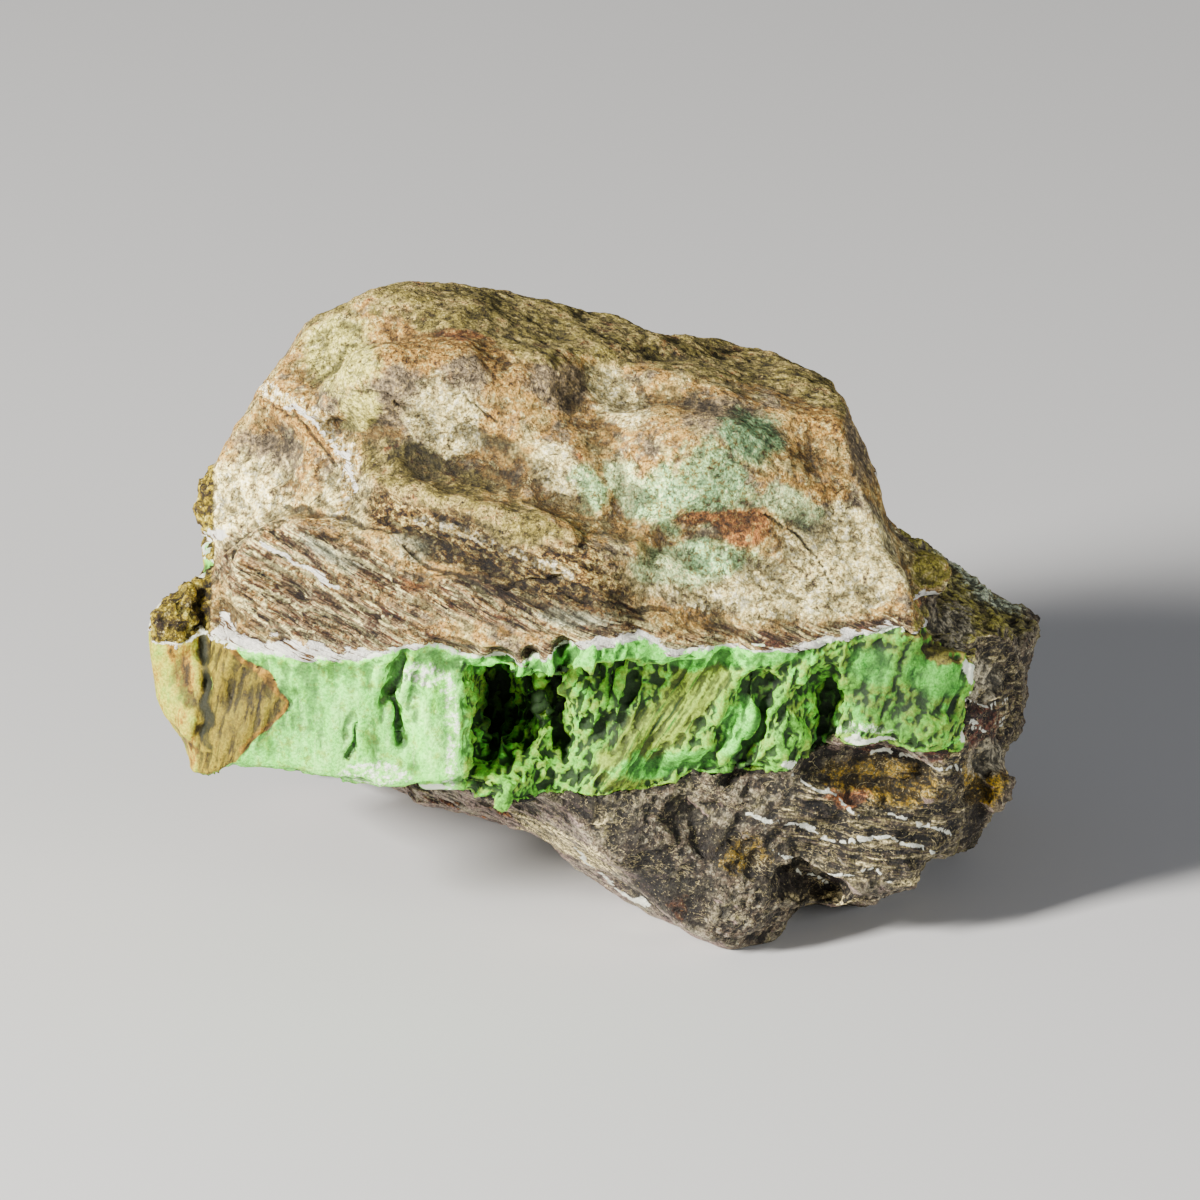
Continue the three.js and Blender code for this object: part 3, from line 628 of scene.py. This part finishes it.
def makeUpperMaterial():
    g = Graph("hostRockAbove", upper["colours"])
    dip = upper["layerDip"]
    coarse, middling = g.noise(9, 9, 0.72), g.noise(2.8, 8, 0.74, shift=30)
    grain, speckle = g.noise(0.42, 2, 0.6, shift=60), g.noise(1.0, 4, 0.8, shift=90)
    colour = g.ramp(coarse, [(0.35, "mauveDark"), (0.43, "mauve"), (0.49, "ochre"), (0.54, "tan"),
                             (0.6, "beige"), (0.68, "cream")])
    colour = g.mix(g.span(middling, 0.52, 0.66), colour, "beige")
    colour = g.mix(g.span(middling, 0.46, 0.34), colour, "mauve")
    colour = g.mix(g.span(speckle, 0.52, 0.68), colour, "cream")
    colour = g.mix(g.ragged("ochre", middling), colour,
                   g.ramp(speckle, [(0.38, "brown"), (0.5, "ochre"), (0.62, "beige")]))
    colour = g.mix(g.ragged("mauve", middling), colour,
                   g.ramp(speckle, [(0.36, "mauveDark"), (0.52, "mauve"), (0.66, "tan")]))
    colour = g.mix(g.ragged("pale", middling, 2.6), colour,
                   g.ramp(speckle, [(0.36, "mauve"), (0.44, "beige"), (0.55, "cream"), (0.68, "white")]))
    colour = g.mix(g.ragged("yellowGreen", middling), colour,
                   g.ramp(speckle, [(0.34, "olive"), (0.5, "yellowGreen"), (0.7, "cream")]))
    colour = g.mix(g.ragged("mint", middling), colour,
                   g.ramp(speckle, [(0.34, "tan"), (0.5, "mint"), (0.66, "cream")]))
    colour = g.mix(g.times(g.ragged("green", middling, 3.0, 0.4), 0.8), colour,
                   g.ramp(speckle, [(0.38, "olive"), (0.5, "green"), (0.64, "mint")]))
    colour = g.mix(g.ragged("rust", middling, 2.6), colour,
                   g.ramp(speckle, [(0.38, "brown"), (0.5, "rust"), (0.62, "ochre")]))
    crust = g.ramp(g.noise(4, 9, 0.76, shift=7),
                   [(0.38, "oliveDark"), (0.47, "olive"), (0.55, "beige"), (0.63, "rust")])
    crust = g.mix(g.span(speckle, 0.5, 0.6), crust, "olive")
    crust = g.mix(g.span(speckle, 0.46, 0.38), crust, "oliveDark")
    colour = g.mix(g.ragged("crust", middling), colour, crust)
    colour = g.mix(g.ragged("shoulder", middling), colour,
                   g.ramp(speckle, [(0.38, "olive"), (0.52, "shoulder"), (0.64, "beige")]))
    sheets = g.noise((7, 5, 0.55), 4, 0.7, 0.4, dip)
    layer = g.ramp(sheets, [(0.4, "layerDark"), (0.45, "brown"), (0.49, "mauve"), (0.53, "layerTan"),
                            (0.57, "layerGrey"), (0.63, "cream")])
    broad = g.noise((14, 10, 3), 6, 0.7, 0.6, dip, 15)
    layer = g.mix(g.times(g.span(broad, 0.5, 0.58), 0.6), layer,
                  g.ramp(speckle, [(0.4, "brown"), (0.5, "ochre"), (0.58, "cream")]))
    layer = g.mix(g.times(g.span(broad, 0.48, 0.41), 0.85), layer,
                  g.ramp(sheets, [(0.44, "pit"), (0.54, "layerDark"), (0.62, "mauve")]))
    layer = g.mix(g.span(g.noise((5, 4, 0.4), 3, 0.6, 0.5, dip, 33), 0.6, 0.65), layer, "cream")
    layer = g.mix(g.span(g.noise((6, 4, 0.35), 3, 0.6, 0.5, dip, 77), 0.41, 0.37), layer, "pit")
    layer = g.mix(g.ragged("wisp", speckle, 2.4), layer, "cream")
    colour = g.mix(g.ragged("layered", middling, 1.6), colour, layer)
    sponge = g.ramp(g.noise(2.0, 7, 0.75, shift=50),
                    [(0.4, "pit"), (0.46, "spongeDark"), (0.56, "sponge"), (0.66, "yellowGreen")])
    colour = g.mix(g.ragged("sponge", middling, 0.8), colour, sponge)
    golden = g.ramp(g.noise((1.5, 1.5, 0.9), 5, 0.8, 0.4, dip, 21),
                    [(0.41, "pit"), (0.47, "brown"), (0.52, "gold"), (0.57, "goldPale"), (0.65, "cream")])
    colour = g.mix(g.ragged("gold", speckle, 2.0), colour, golden)
    colour = g.mix(g.ragged("streak", speckle, 2.0), colour,
                   g.ramp(speckle, [(0.4, "ochre"), (0.5, "goldPale"), (0.64, "white")]))
    colour = g.mix(g.times(g.ragged("grey", speckle, 2.8, 0.4), 0.7), colour,
                   g.ramp(sheets, [(0.42, "layerGrey"), (0.58, "greyWhite")]))
    colour = g.mix(g.times(g.span(speckle, 0.57, 0.66), 0.5), colour, "cream")
    colour = g.mix(g.times(g.span(speckle, 0.44, 0.37), 0.5), colour, "mauveDark")
    # painted shade in the hollows and dips, painted highlight and wear on the ridges
    colour = g.shadeAndWear(colour, grain)
    # painted shade: the colour made darker on these patches
    colour = g.toned(colour, g.span(g.ragged("dusk", middling, 1.4, 0.4), 0.0, 1.0, 1.0, 0.4))
    # painted light: the colour made lighter on these patches
    colour = g.toned(colour, g.span(g.share("bright"), 0.0, 1.0, 1.0, 1.5))
    splits = g.sum(g.creases(3.2), g.creases(1.6, 0.014, 40), "MAXIMUM")
    colour = g.mix(g.times(splits, 0.75), colour, "pit")
    colour = g.mix(g.ragged("margin", g.noise((2.4, 2.4, 0.8), 6, 0.75, 0.5), 3.0, 0.1), colour,
                   g.ramp(sheets, [(0.4, "brown"), (0.45, "white")]))
    colour = g.mix(g.times(g.ragged("crack", speckle, 1.6), 0.6), colour, "pit")
    colour = g.mix(g.span(speckle, 0.36, 0.31), colour, "pit")
    height = g.sum(g.sum(grain, g.times(speckle, 1.5)), splits, "SUBTRACT")
    height = g.sum(height, g.times(g.times(sheets, g.share("layered")), 3.0))
    return g.finish(colour, 0.88, height, 0.85, 0.35)


# The band of ore.
ore = {
    "voxel": 0.34, "triangles": 190000,
    "relief": {"flutes": 0.8, "fins": 3.2, "knobs": 0.9, "pits": 2.2, "ribs": 1.2, "fibres": 1.3,
               "grain": 0.14},
    "ribDip": 31.0,
    "patches": {
        "fins": [(-8, -15, 9, 9, 0), (20, -20, 5, 6, 0), (-15, -18, 4, 9, 0), (0, -14, 6, 8, 0)],
        "jade": [(9.5, -24, 8, 1.8, -10), (14, -8, 5, 1.8, 0), (-16, -8.5, 6, 2.2, 0), (-4, -5.5, 7, 2, 0),
                 (21, -8.5, 4, 2, 0), (50, -11, 4, 4, 0), (40, -10, 4, 2.5, 0), (21, -19, 3, 5, 30)],
        "milk": [(-33, -26, 5, 1.6, 0), (38, -19.3, 5, 0.5, 0), (-26, -11, 3, 1.4, 0)],
        "rough": [(-30, -13, 3.5, 7, 0), (-19.6, -18, 1.0, 9, 0), (-36.5, -20, 1.5, 4, 0)],
        # recesses, sunk and painted near-black, as painted shadow
        "dark": [(-15.5, -17.5, 2.6, 7, 0), (-6, -15, 1.6, 8, 0), (-10.5, -15, 0.8, 7, 0)],
        "bottomWhite": [(-25, -28.8, 4, 0.9, 0), (29, -25.3, 2.5, 1.0, 0), (40, -20.8, 4, 0.6, 0)],
        # a less crumbly part, also painted darker as painted shade
        "solid": [(45, -13, 10, 9, 0)],
        # a patch painted darker, as painted shade
        "dusk": [(3, -19, 4, 6, 0), (-52, -16, 6, 8, 0)],
        # patches painted lighter, as painted light
        "lit": [(-24, -20, 3.5, 9, 0), (16.8, -9.2, 5, 2.6, 0), (-40, -10, 14, 3, 0)],
    },
    "lines": {
        "ribbed": [([(15, -12), (10, -18), (3, -25)], 4.2), ([(16, -8), (17.5, -12), (12, -18)], 1.0)],
        "milk": [([(-22.6, -12), (-21.8, -20), (-22.2, -28)], 0.9)],
        # recess lines, sunk and painted near-black, as painted shadow
        "dark": [([(25.5, -12.5), (22, -20), (19, -27)], 1.1), ([(34, -14), (32.5, -22), (31, -25.5)], 1.5),
                 ([(-28.8, -9), (-30.2, -14), (-29.7, -20)], 0.5), ([(-36, -18), (-37, -23)], 0.25),
                 ([(-58.0, 1), (-58.4, -12), (-57.8, -21)], 0.8)],
        "orange": [([(-54, -8), (-46, -15.5), (-53, -22.5)], 0.6)],
    },
    # the near-black here stands for painted shadow in the recesses
    "colours": {
        "jade": "78c864", "jadeDark": "3f8038", "mint": "8ad674", "milk": "a8e68c", "white": "f2f8e6",
        "moss": "3f662c", "straw": "869e50", "knob": "72ae54", "hollowShade": "0c1606", "rib": "86984c",
        "ochre": "746629", "ochreDark": "352b0f", "ochrePale": "80763a", "slab": "a8a254", "orange": "8a6a34",
        "host": "86804a", "hostDark": "4a4228",
    },
}


def oreShares(s):
    below = edgeOf("top", s["x"]) - s["level"]
    shares = {name: marking(s, ore, name) for name in {**ore["patches"], **ore["lines"]}}
    tip = 6.5 - 0.95 * np.abs(s["up"] + 15.5)
    fibrous = (1 - smooth(s["across"] + 52.5, tip - 0.8, tip + 0.8)) * s["seen"]
    slab = (1 - smooth(s["across"], -60.4, -58.8))
    shares["fibrous"] = most(fibrous, slab)
    shares["slab"] = slab
    shares["calm"] = s["seen"] * (1 - smooth(s["across"], -20.4, -19.2)) * (1 - shares["fibrous"])
    lip = (1 - smooth(below, 1.5, 4.5)) * smooth(s["across"], -20, -17)
    lip = lip * (1 - smooth(s["across"], 26, 32)) * s["seen"]
    shares["jade"] = most(shares["jade"], 0.9 * lip)
    level = smooth(np.abs(s["nz"]), 0.8, 0.97)
    settled = most(shares["calm"] * (1 - 0.6 * shares["rough"]), shares["fibrous"], 0.8 * shares["jade"],
                   0.7 * shares["ribbed"], level)
    shares["crumbly"] = (1 - settled) * (1 - 0.5 * shares["solid"])
    shares["capped"] = smooth(s["nz"], 0.35, 0.6) * smooth(s["x"], 43, 46) * smooth(s["level"], -3, 0)
    ends = trace(s, [(55.5, -7), (55, -21)], 0.9)
    white = most(0.6 - smooth(below, 0.1, 0.5), shares.pop("bottomWhite"), ends)
    shares["margin"] = white * (1 - shares["capped"])
    return shares


applyModifier(oreBand, "REMESH", mode="VOXEL", voxel_size=ore["voxel"] * mm)
applyModifier(oreBand, "SMOOTH", factor=0.5, iterations=1)
shares = oreShares(readSurface(oreBand))
held = ore["relief"]
everywhere = 0 * shares["calm"] + 1
push(oreBand, -0.6, shares["dark"] * (1 - 0.5 * shares["fibrous"]))
relief(oreBand, "CLOUDS", (3.4, 3.4, 14), held["flutes"], shares["calm"], noise_depth=3)
relief(oreBand, "CLOUDS", (2.2, 6, 9), held["fins"], most(shares["fins"], 0.4 * shares["crumbly"]), 14,
       noise_depth=2, contrast=1.8)
relief(oreBand, "CLOUDS", (1.0, 4, 14), held["ribs"], most(shares["ribbed"], 0.3 * shares["fins"]),
       ore["ribDip"], noise_depth=2, contrast=1.6)
relief(oreBand, "CLOUDS", (2.6, 3, 5), held["pits"], most(shares["crumbly"], 0.25 * shares["ribbed"]), 24,
       0.58, noise_depth=3, contrast=1.9)
relief(oreBand, "CLOUDS", (1.5, 1.6, 2.0), -held["knobs"], most(shares["crumbly"], 0.25 * shares["ribbed"]),
       22, 0.35, noise_depth=2,
       noise_basis="VORONOI_F1")
relief(oreBand, "CLOUDS", (1.2, 4, 7), held["fibres"], shares["fibrous"] * (1 - 0.7 * shares["slab"]), 12,
       noise_depth=3)
relief(oreBand, "CLOUDS", 0.8, held["grain"], everywhere, noise_depth=2)
thin(oreBand, ore["triangles"])
for name, values in oreShares(readSurface(oreBand)).items():
    keepShare(oreBand, name, values)
keepShare(oreBand, "hollowShade", hollows(oreBand, 5, 0.14))
keepShare(oreBand, "dip", hollows(oreBand, 50, 0.8))


def makeOreMaterial():
    g = Graph("greenOre", ore["colours"])
    coarse, middling = g.noise(5, 8, 0.7), g.noise(1.9, 7, 0.7, shift=30)
    grain, speckle = g.noise(0.42, 2, 0.6, shift=60), g.noise(1.0, 4, 0.76, shift=90)
    colour = g.ramp(coarse, [(0.35, "moss"), (0.45, "knob"), (0.53, "straw"), (0.6, "jade"), (0.7, "mint")])
    colour = g.mix(g.span(middling, 0.5, 0.62), colour, "knob")
    # painted shade: darker moss green in the hollows
    colour = g.mix(g.span(g.share("hollowShade"), 0.58, 0.85), colour, "moss")
    stripes = g.noise((0.7, 4, 9), 5, 0.66, 0.2, ore["ribDip"])
    colour = g.mix(g.ragged("ribbed", middling, 1.6), colour,
                   g.ramp(stripes, [(0.38, "moss"), (0.5, "rib"), (0.6, "straw")]))
    colour = g.mix(g.ragged("jade", middling, 1.8), colour,
                   g.ramp(speckle, [(0.34, "jadeDark"), (0.46, "jade"), (0.64, "mint")]))
    calm = g.ramp(g.noise((3, 3, 8), 7, 0.68), [(0.36, "knob"), (0.48, "mint"), (0.68, "milk")])
    calm = g.mix(g.span(g.noise((1.0, 1.0, 5), 4, 0.7, shift=21), 0.57, 0.68), calm, "milk")
    calm = g.mix(g.times(g.span(middling, 0.47, 0.38), 0.7), calm, "straw")
    calm = g.mix(g.times(g.span(speckle, 0.44, 0.36), 0.7), calm, "jade")
    colour = g.mix(g.ragged("calm", middling, 0.8), colour, calm)
    fibre = g.noise((0.8, 2.4, 5), 6, 0.72, 0.3, 12)
    fibrous = g.ramp(fibre, [(0.38, "ochreDark"), (0.48, "ochre"), (0.62, "ochrePale")])
    fibrous = g.mix(g.ragged("orange", middling, 1.8), fibrous, "orange")
    slab = g.ramp(g.noise((3, 3, 6), 8, 0.74),
                  [(0.36, "ochreDark"), (0.44, "orange"), (0.52, "slab"), (0.66, "straw")])
    fibrous = g.mix(g.ragged("slab", middling, 1.0), fibrous, slab)
    colour = g.mix(g.ragged("fibrous", middling, 1.0, 0.1), colour, fibrous)
    colour = g.mix(g.ragged("milk", speckle, 2.0, 0.35), colour,
                   g.ramp(speckle, [(0.36, "mint"), (0.48, "milk"), (0.6, "white")]))
    colour = g.mix(g.ragged("capped", middling, 1.2), colour,
                   g.ramp(speckle, [(0.4, "hostDark"), (0.54, "host")]))
    # painted shade in the hollows and dips, painted highlight and wear on the ridges
    colour = g.shadeAndWear(colour, grain, 0.38, 1.25, 0.55)
    # painted shade on the darker patches, painted light on the lighter ones
    for name, light in (("solid", 0.48), ("dusk", 0.72), ("lit", 1.4)):
        colour = g.toned(colour, g.span(g.share(name), 0.0, 1.0, 1.0, light))
    # painted shadow: the recesses made near-black
    colour = g.mix(g.times(g.ragged("dark", speckle, 1.4, 0.35), 0.75), colour, "hollowShade")
    colour = g.mix(g.ragged("margin", g.noise(1.3, 6, 0.74), 1.8, 0.12), colour, "white")
    height = g.sum(grain, speckle)
    rough = g.span(g.share("calm"), 0.0, 1.0, 0.75, 0.5)
    return g.finish(colour, rough, height, 0.6, 0.25)


# The rock below the band, with the shoulder.
lower = {
    "voxel": 0.42, "triangles": 190000,
    "relief": {"chunks": 2.6, "rough": 0.8, "creases": 1.2, "grain": 0.25, "ledges": 1.5, "fineLedges": 0.8},
    "layerDip": 14.0,
    "patches": {
        "layered": [(41, -33, 15, 9, 0), (50, -26, 9, 7, 0), (-20, -31, 15, 3.5, 12), (58, -15, 6, 10, 0)],
        "ochre": [(20.8, -38, 4, 3.2, 0), (42, -27, 9, 3.4, 8), (57.5, -27, 3.6, 4.4, 0)],
        # patches painted darker, as painted shade
        "dusk": [(42, -25, 9, 3.2, 6), (21, -38, 5, 5, 0), (9, -42, 7, 6, 0), (2, -31, 6, 3, 12)],
        # patches painted lighter, as painted light
        "lit": [(58.5, -28, 3.6, 4, 0), (57, -8, 3, 5, 0), (60, -16, 3, 2, 0)],
        "rust": [(21.9, -52.8, 4, 1.2, 0), (45.7, 0, 3.4, 1.6, 0), (-14, -33.5, 10, 1.6, 12),
                 (11, -47, 1.6, 3.4, 30), (37, -29, 3, 1.5, 0)],
        "maroon": [(44, -22, 9, 1.4, 4), (57, -19, 3, 5, 0), (-24, -31, 6, 1.6, 12)],
        "pale": [(0.2, -31.6, 1.0, 2.0, 0), (-6, -36, 10, 1.6, 30), (33, -44.5, 7, 1.0, 4),
                 (48, -42, 4, 1.0, 0), (4, -47, 8, 1.5, 38)],
        # crevices painted near-black, as painted shadow
        "dark": [(31.5, -43.3, 3, 2.2, 0), (31, -24, 2.2, 4, 0), (8, -41, 4, 5, 0), (26, -42, 3, 3.5, 0),
                 (56, -34, 1.4, 6, 0), (-2, -30, 4, 2, 20), (17, -36, 3, 3, 0), (4, -35, 3, 3, 0),
                 (12, -45, 4, 4, 30)],
        "rim": [(60, 1.0, 7, 2.2, 28), (54.5, 5.5, 5, 1.4, 28)],
        "greyEnd": [(52.5, -5, 3, 5, 20), (57, -12, 3, 4, 0), (58, -24, 3, 3, 0)],
    },
    "lines": {
        "vein": [([(22.4, -32.4), (28.3, -33.2), (31.5, -34.5), (36.9, -36), (44.9, -36.2), (50, -37.8)],
                  0.24),
                 ([(27.8, -25.2), (31.5, -27.9), (35.9, -29.2), (39.5, -32.1)], 0.22),
                 ([(41.1, -23), (45.4, -23), (49.7, -24.9), (53.5, -25.2)], 0.24),
                 ([(52.5, -14), (57, -16), (61.5, -15)], 0.22), ([(52, -17), (57, -19.5), (61, -18)], 0.22),
                 ([(42.2, -31.6), (47.6, -33.5), (52.7, -34.8)], 0.22),
                 ([(25.6, -37), (31.5, -40.2), (34.7, -42.9)], 0.22),
                 ([(34.7, -41), (40, -40.4), (43.8, -41.5)], 0.22),
                 ([(-3.9, -36.5), (1.5, -42.3), (6.9, -46)], 0.24)],
    },
    "colours": {
        "brown": "4c4136", "dark": "262119", "grey": "857f6e", "stone": "665f50", "olive": "605a3a",
        "ochre": "80682a", "rust": "80553a", "cream": "d3c49a", "white": "eef0e2", "shoulder": "908a52",
        "rim": "a9b09a", "maroon": "54342a", "mauve": "7d6c66", "pit": "17110c",
    },
}


def lowerShares(s):
    shares = {name: marking(s, lower, name) for name in {**lower["patches"], **lower["lines"]}}
    shares["greyFace"] = smooth(-0.52 * s["nx"] - 0.53 * s["ny"] - 0.68 * s["nz"], 0.84, 0.93)
    shares["onTop"] = smooth(s["nz"], 0.35, 0.6) * smooth(s["across"], 40, 44) * smooth(s["level"], -9, -4)
    shares["layered"] = shares["layered"] * (1 - shares["onTop"])
    shares["rim"] = shares["rim"] * shares["onTop"]
    shares["offGround"] = smooth(s["z"], 0.3, 2.0)
    return shares


applyModifier(lowerRock, "REMESH", mode="VOXEL", voxel_size=lower["voxel"] * mm)
applyModifier(lowerRock, "SMOOTH", factor=0.5, iterations=1)
shares = lowerShares(readSurface(lowerRock))
held, dip = lower["relief"], lower["layerDip"]
offGround = shares["offGround"]
rugged = offGround * (1 - 0.75 * shares["greyFace"]) * (1 - 0.4 * shares["layered"])
relief(lowerRock, "CLOUDS", 6.0, held["chunks"], rugged, middle=0.3, noise_depth=2,
       noise_basis="VORONOI_F2_F1")
relief(lowerRock, "CLOUDS", 4.5, held["rough"], rugged, noise_depth=5, noise_basis="IMPROVED_PERLIN")
relief(lowerRock, "CLOUDS", 2.8, held["creases"], rugged, noise_depth=4, noise_type="HARD_NOISE")
relief(lowerRock, "CLOUDS", (9, 7, 2.0), held["ledges"], shares["layered"] * offGround, dip, noise_depth=3,
       contrast=1.6)
relief(lowerRock, "CLOUDS", (4, 4, 1.0), held["fineLedges"], shares["layered"] * offGround, dip,
       noise_depth=2, contrast=1.4)
relief(lowerRock, "CLOUDS", 1.0, held["grain"], offGround, noise_depth=3)
thin(lowerRock, lower["triangles"])
for name, values in lowerShares(readSurface(lowerRock)).items():
    keepShare(lowerRock, name, values)
keepShare(lowerRock, "hollowShade", hollows(lowerRock, 4, 0.12))
keepShare(lowerRock, "dip", hollows(lowerRock, 40, 0.7))


def makeLowerMaterial():
    g = Graph("hostRockBelow", lower["colours"])
    dip = lower["layerDip"]
    coarse, middling = g.noise(7, 9, 0.72), g.noise(2.4, 8, 0.74, shift=30)
    grain, speckle = g.noise(0.42, 2, 0.6, shift=60), g.noise(1.0, 4, 0.8, shift=90)
    colour = g.ramp(coarse, [(0.36, "dark"), (0.46, "brown"), (0.54, "stone"), (0.64, "olive")])
    colour = g.mix(g.span(speckle, 0.5, 0.64), colour, "grey")
    colour = g.mix(g.span(middling, 0.46, 0.36), colour, "dark")
    sheets = g.noise((6, 5, 0.55), 4, 0.7, 0.3, dip)
    layer = g.ramp(sheets, [(0.41, "pit"), (0.46, "dark"), (0.5, "brown"), (0.54, "olive"), (0.59, "stone"),
                            (0.66, "cream")])
    colour = g.mix(g.ragged("layered", middling, 1.6), colour, layer)
    colour = g.mix(g.ragged("ochre", speckle, 2.4), colour, g.ramp(grain, [(0.36, "olive"), (0.55, "ochre")]))
    colour = g.mix(g.ragged("maroon", speckle, 2.0), colour, g.ramp(sheets, [(0.4, "pit"), (0.55, "maroon")]))
    colour = g.mix(g.ragged("rust", speckle, 2.4), colour, "rust")
    face = g.ramp(g.noise((6, 6, 6), 8, 0.72, shift=4), [(0.34, "brown"), (0.46, "mauve"), (0.6, "grey")])
    colour = g.mix(g.ragged("greyFace", middling, 1.2), colour, face)
    top = g.ramp(g.noise(4, 8, 0.72, shift=8),
                 [(0.36, "brown"), (0.45, "olive"), (0.54, "shoulder"), (0.66, "grey")])
    colour = g.mix(g.ragged("onTop", middling, 1.2), colour, top)
    colour = g.mix(g.ragged("pale", speckle, 2.0), colour, g.ramp(grain, [(0.36, "olive"), (0.55, "cream")]))
    colour = g.mix(g.ragged("greyEnd", speckle, 2.0), colour, "grey")
    colour = g.mix(g.ragged("rim", speckle, 2.0), colour, "rim")
    # painted shade in the hollows and dips, painted highlight and wear on the ridges
    colour = g.shadeAndWear(colour, grain, 0.35, 1.45, 1.0)
    # painted shadow: the crevices made near-black
    colour = g.mix(g.times(g.ragged("dark", middling, 2.2, 0.3), 0.8), colour, "pit")
    # painted light on the top face and the lighter patches, painted shade on the darker ones
    for name, light in (("onTop", 1.4), ("dusk", 0.6), ("lit", 1.7)):
        colour = g.toned(colour, g.span(g.share(name), 0.0, 1.0, 1.0, light))
    splits = g.sum(g.creases(2.8), g.creases(1.5, 0.014, 40), "MAXIMUM")
    colour = g.mix(g.times(splits, 0.8), colour, "pit")
    colour = g.mix(g.times(g.creases((5, 5, 3), 0.009, 70, dip), 0.55), colour, "cream")
    colour = g.mix(g.ragged("vein", g.noise(0.9, 4), 0.9, 0.16), colour, "white")
    colour = g.mix(g.times(g.span(grain, 0.62, 0.7), 0.5), colour, "cream")
    height = g.sum(g.sum(grain, g.times(speckle, 1.5)), splits, "SUBTRACT")
    return g.finish(colour, g.span(middling, 0.4, 0.6, 0.6, 0.85), height, 0.9, 0.4)


for piece, material in ((upperRock, makeUpperMaterial()), (oreBand, makeOreMaterial()),
                        (lowerRock, makeLowerMaterial())):
    piece.data.materials.clear()
    piece.data.materials.append(material)
    onlySelect(piece)
    bpy.ops.object.shade_smooth()
    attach(piece, "root")
    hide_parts("gaspeite_rock")
print("three pieces finished")

# Floor, lights and camera.
studio = {
    "floor": "dcdcdc", "floorSize": 6000.0, "sky": 0.12,
    "key": {"at": (-900, -780, 620), "size": 240, "power": 56.0, "colour": (1.0, 0.97, 0.92)},
    "fill": {"at": (900, -800, 380), "size": 400, "power": 6.0, "colour": (0.95, 0.97, 1.0)},
}

bpy.ops.object.select_all(action="DESELECT")
bpy.ops.mesh.primitive_plane_add(size=studio["floorSize"] * mm)
floor = bpy.context.object
floor.name = "studioFloor"
floorPaint = Graph("floorPaint", {"pale": studio["floor"]})
floorPaint.put("pale", floorPaint.shader.inputs["Base Color"])
floorPaint.shader.inputs["Roughness"].default_value = 0.9
floor.data.materials.append(floorPaint.material)

world = bpy.data.worlds.new("softSky")
bpy.context.scene.world = world
world.use_nodes = True
world.node_tree.nodes["Background"].inputs["Color"].default_value = (0.9, 0.92, 1.0, 1.0)
world.node_tree.nodes["Background"].inputs["Strength"].default_value = studio["sky"]


def lookAt(thing, target):
    thing.rotation_euler = (thing.location - target).to_track_quat("Z", "Y").to_euler()


aim = Vector(camera["aim"]) * mm
for name in ("key", "fill"):
    light = studio[name]
    bpy.ops.object.light_add(type="AREA", location=[v * mm for v in light["at"]])
    lamp = bpy.context.object
    lamp.name = name + "Light"
    lamp.data.size = light["size"] * mm
    lamp.data.energy = light["power"]
    lamp.data.color = light["colour"]
    lookAt(lamp, aim)

bpy.ops.object.camera_add()
eye = bpy.context.object
eye.data.lens = camera["lens"]
eye.data.clip_end = 50
eye.location = aim + Vector((0, -downCosine, downSine)) * camera["distance"] * mm
lookAt(eye, aim)
bpy.context.scene.camera = eye
print("studio ready")
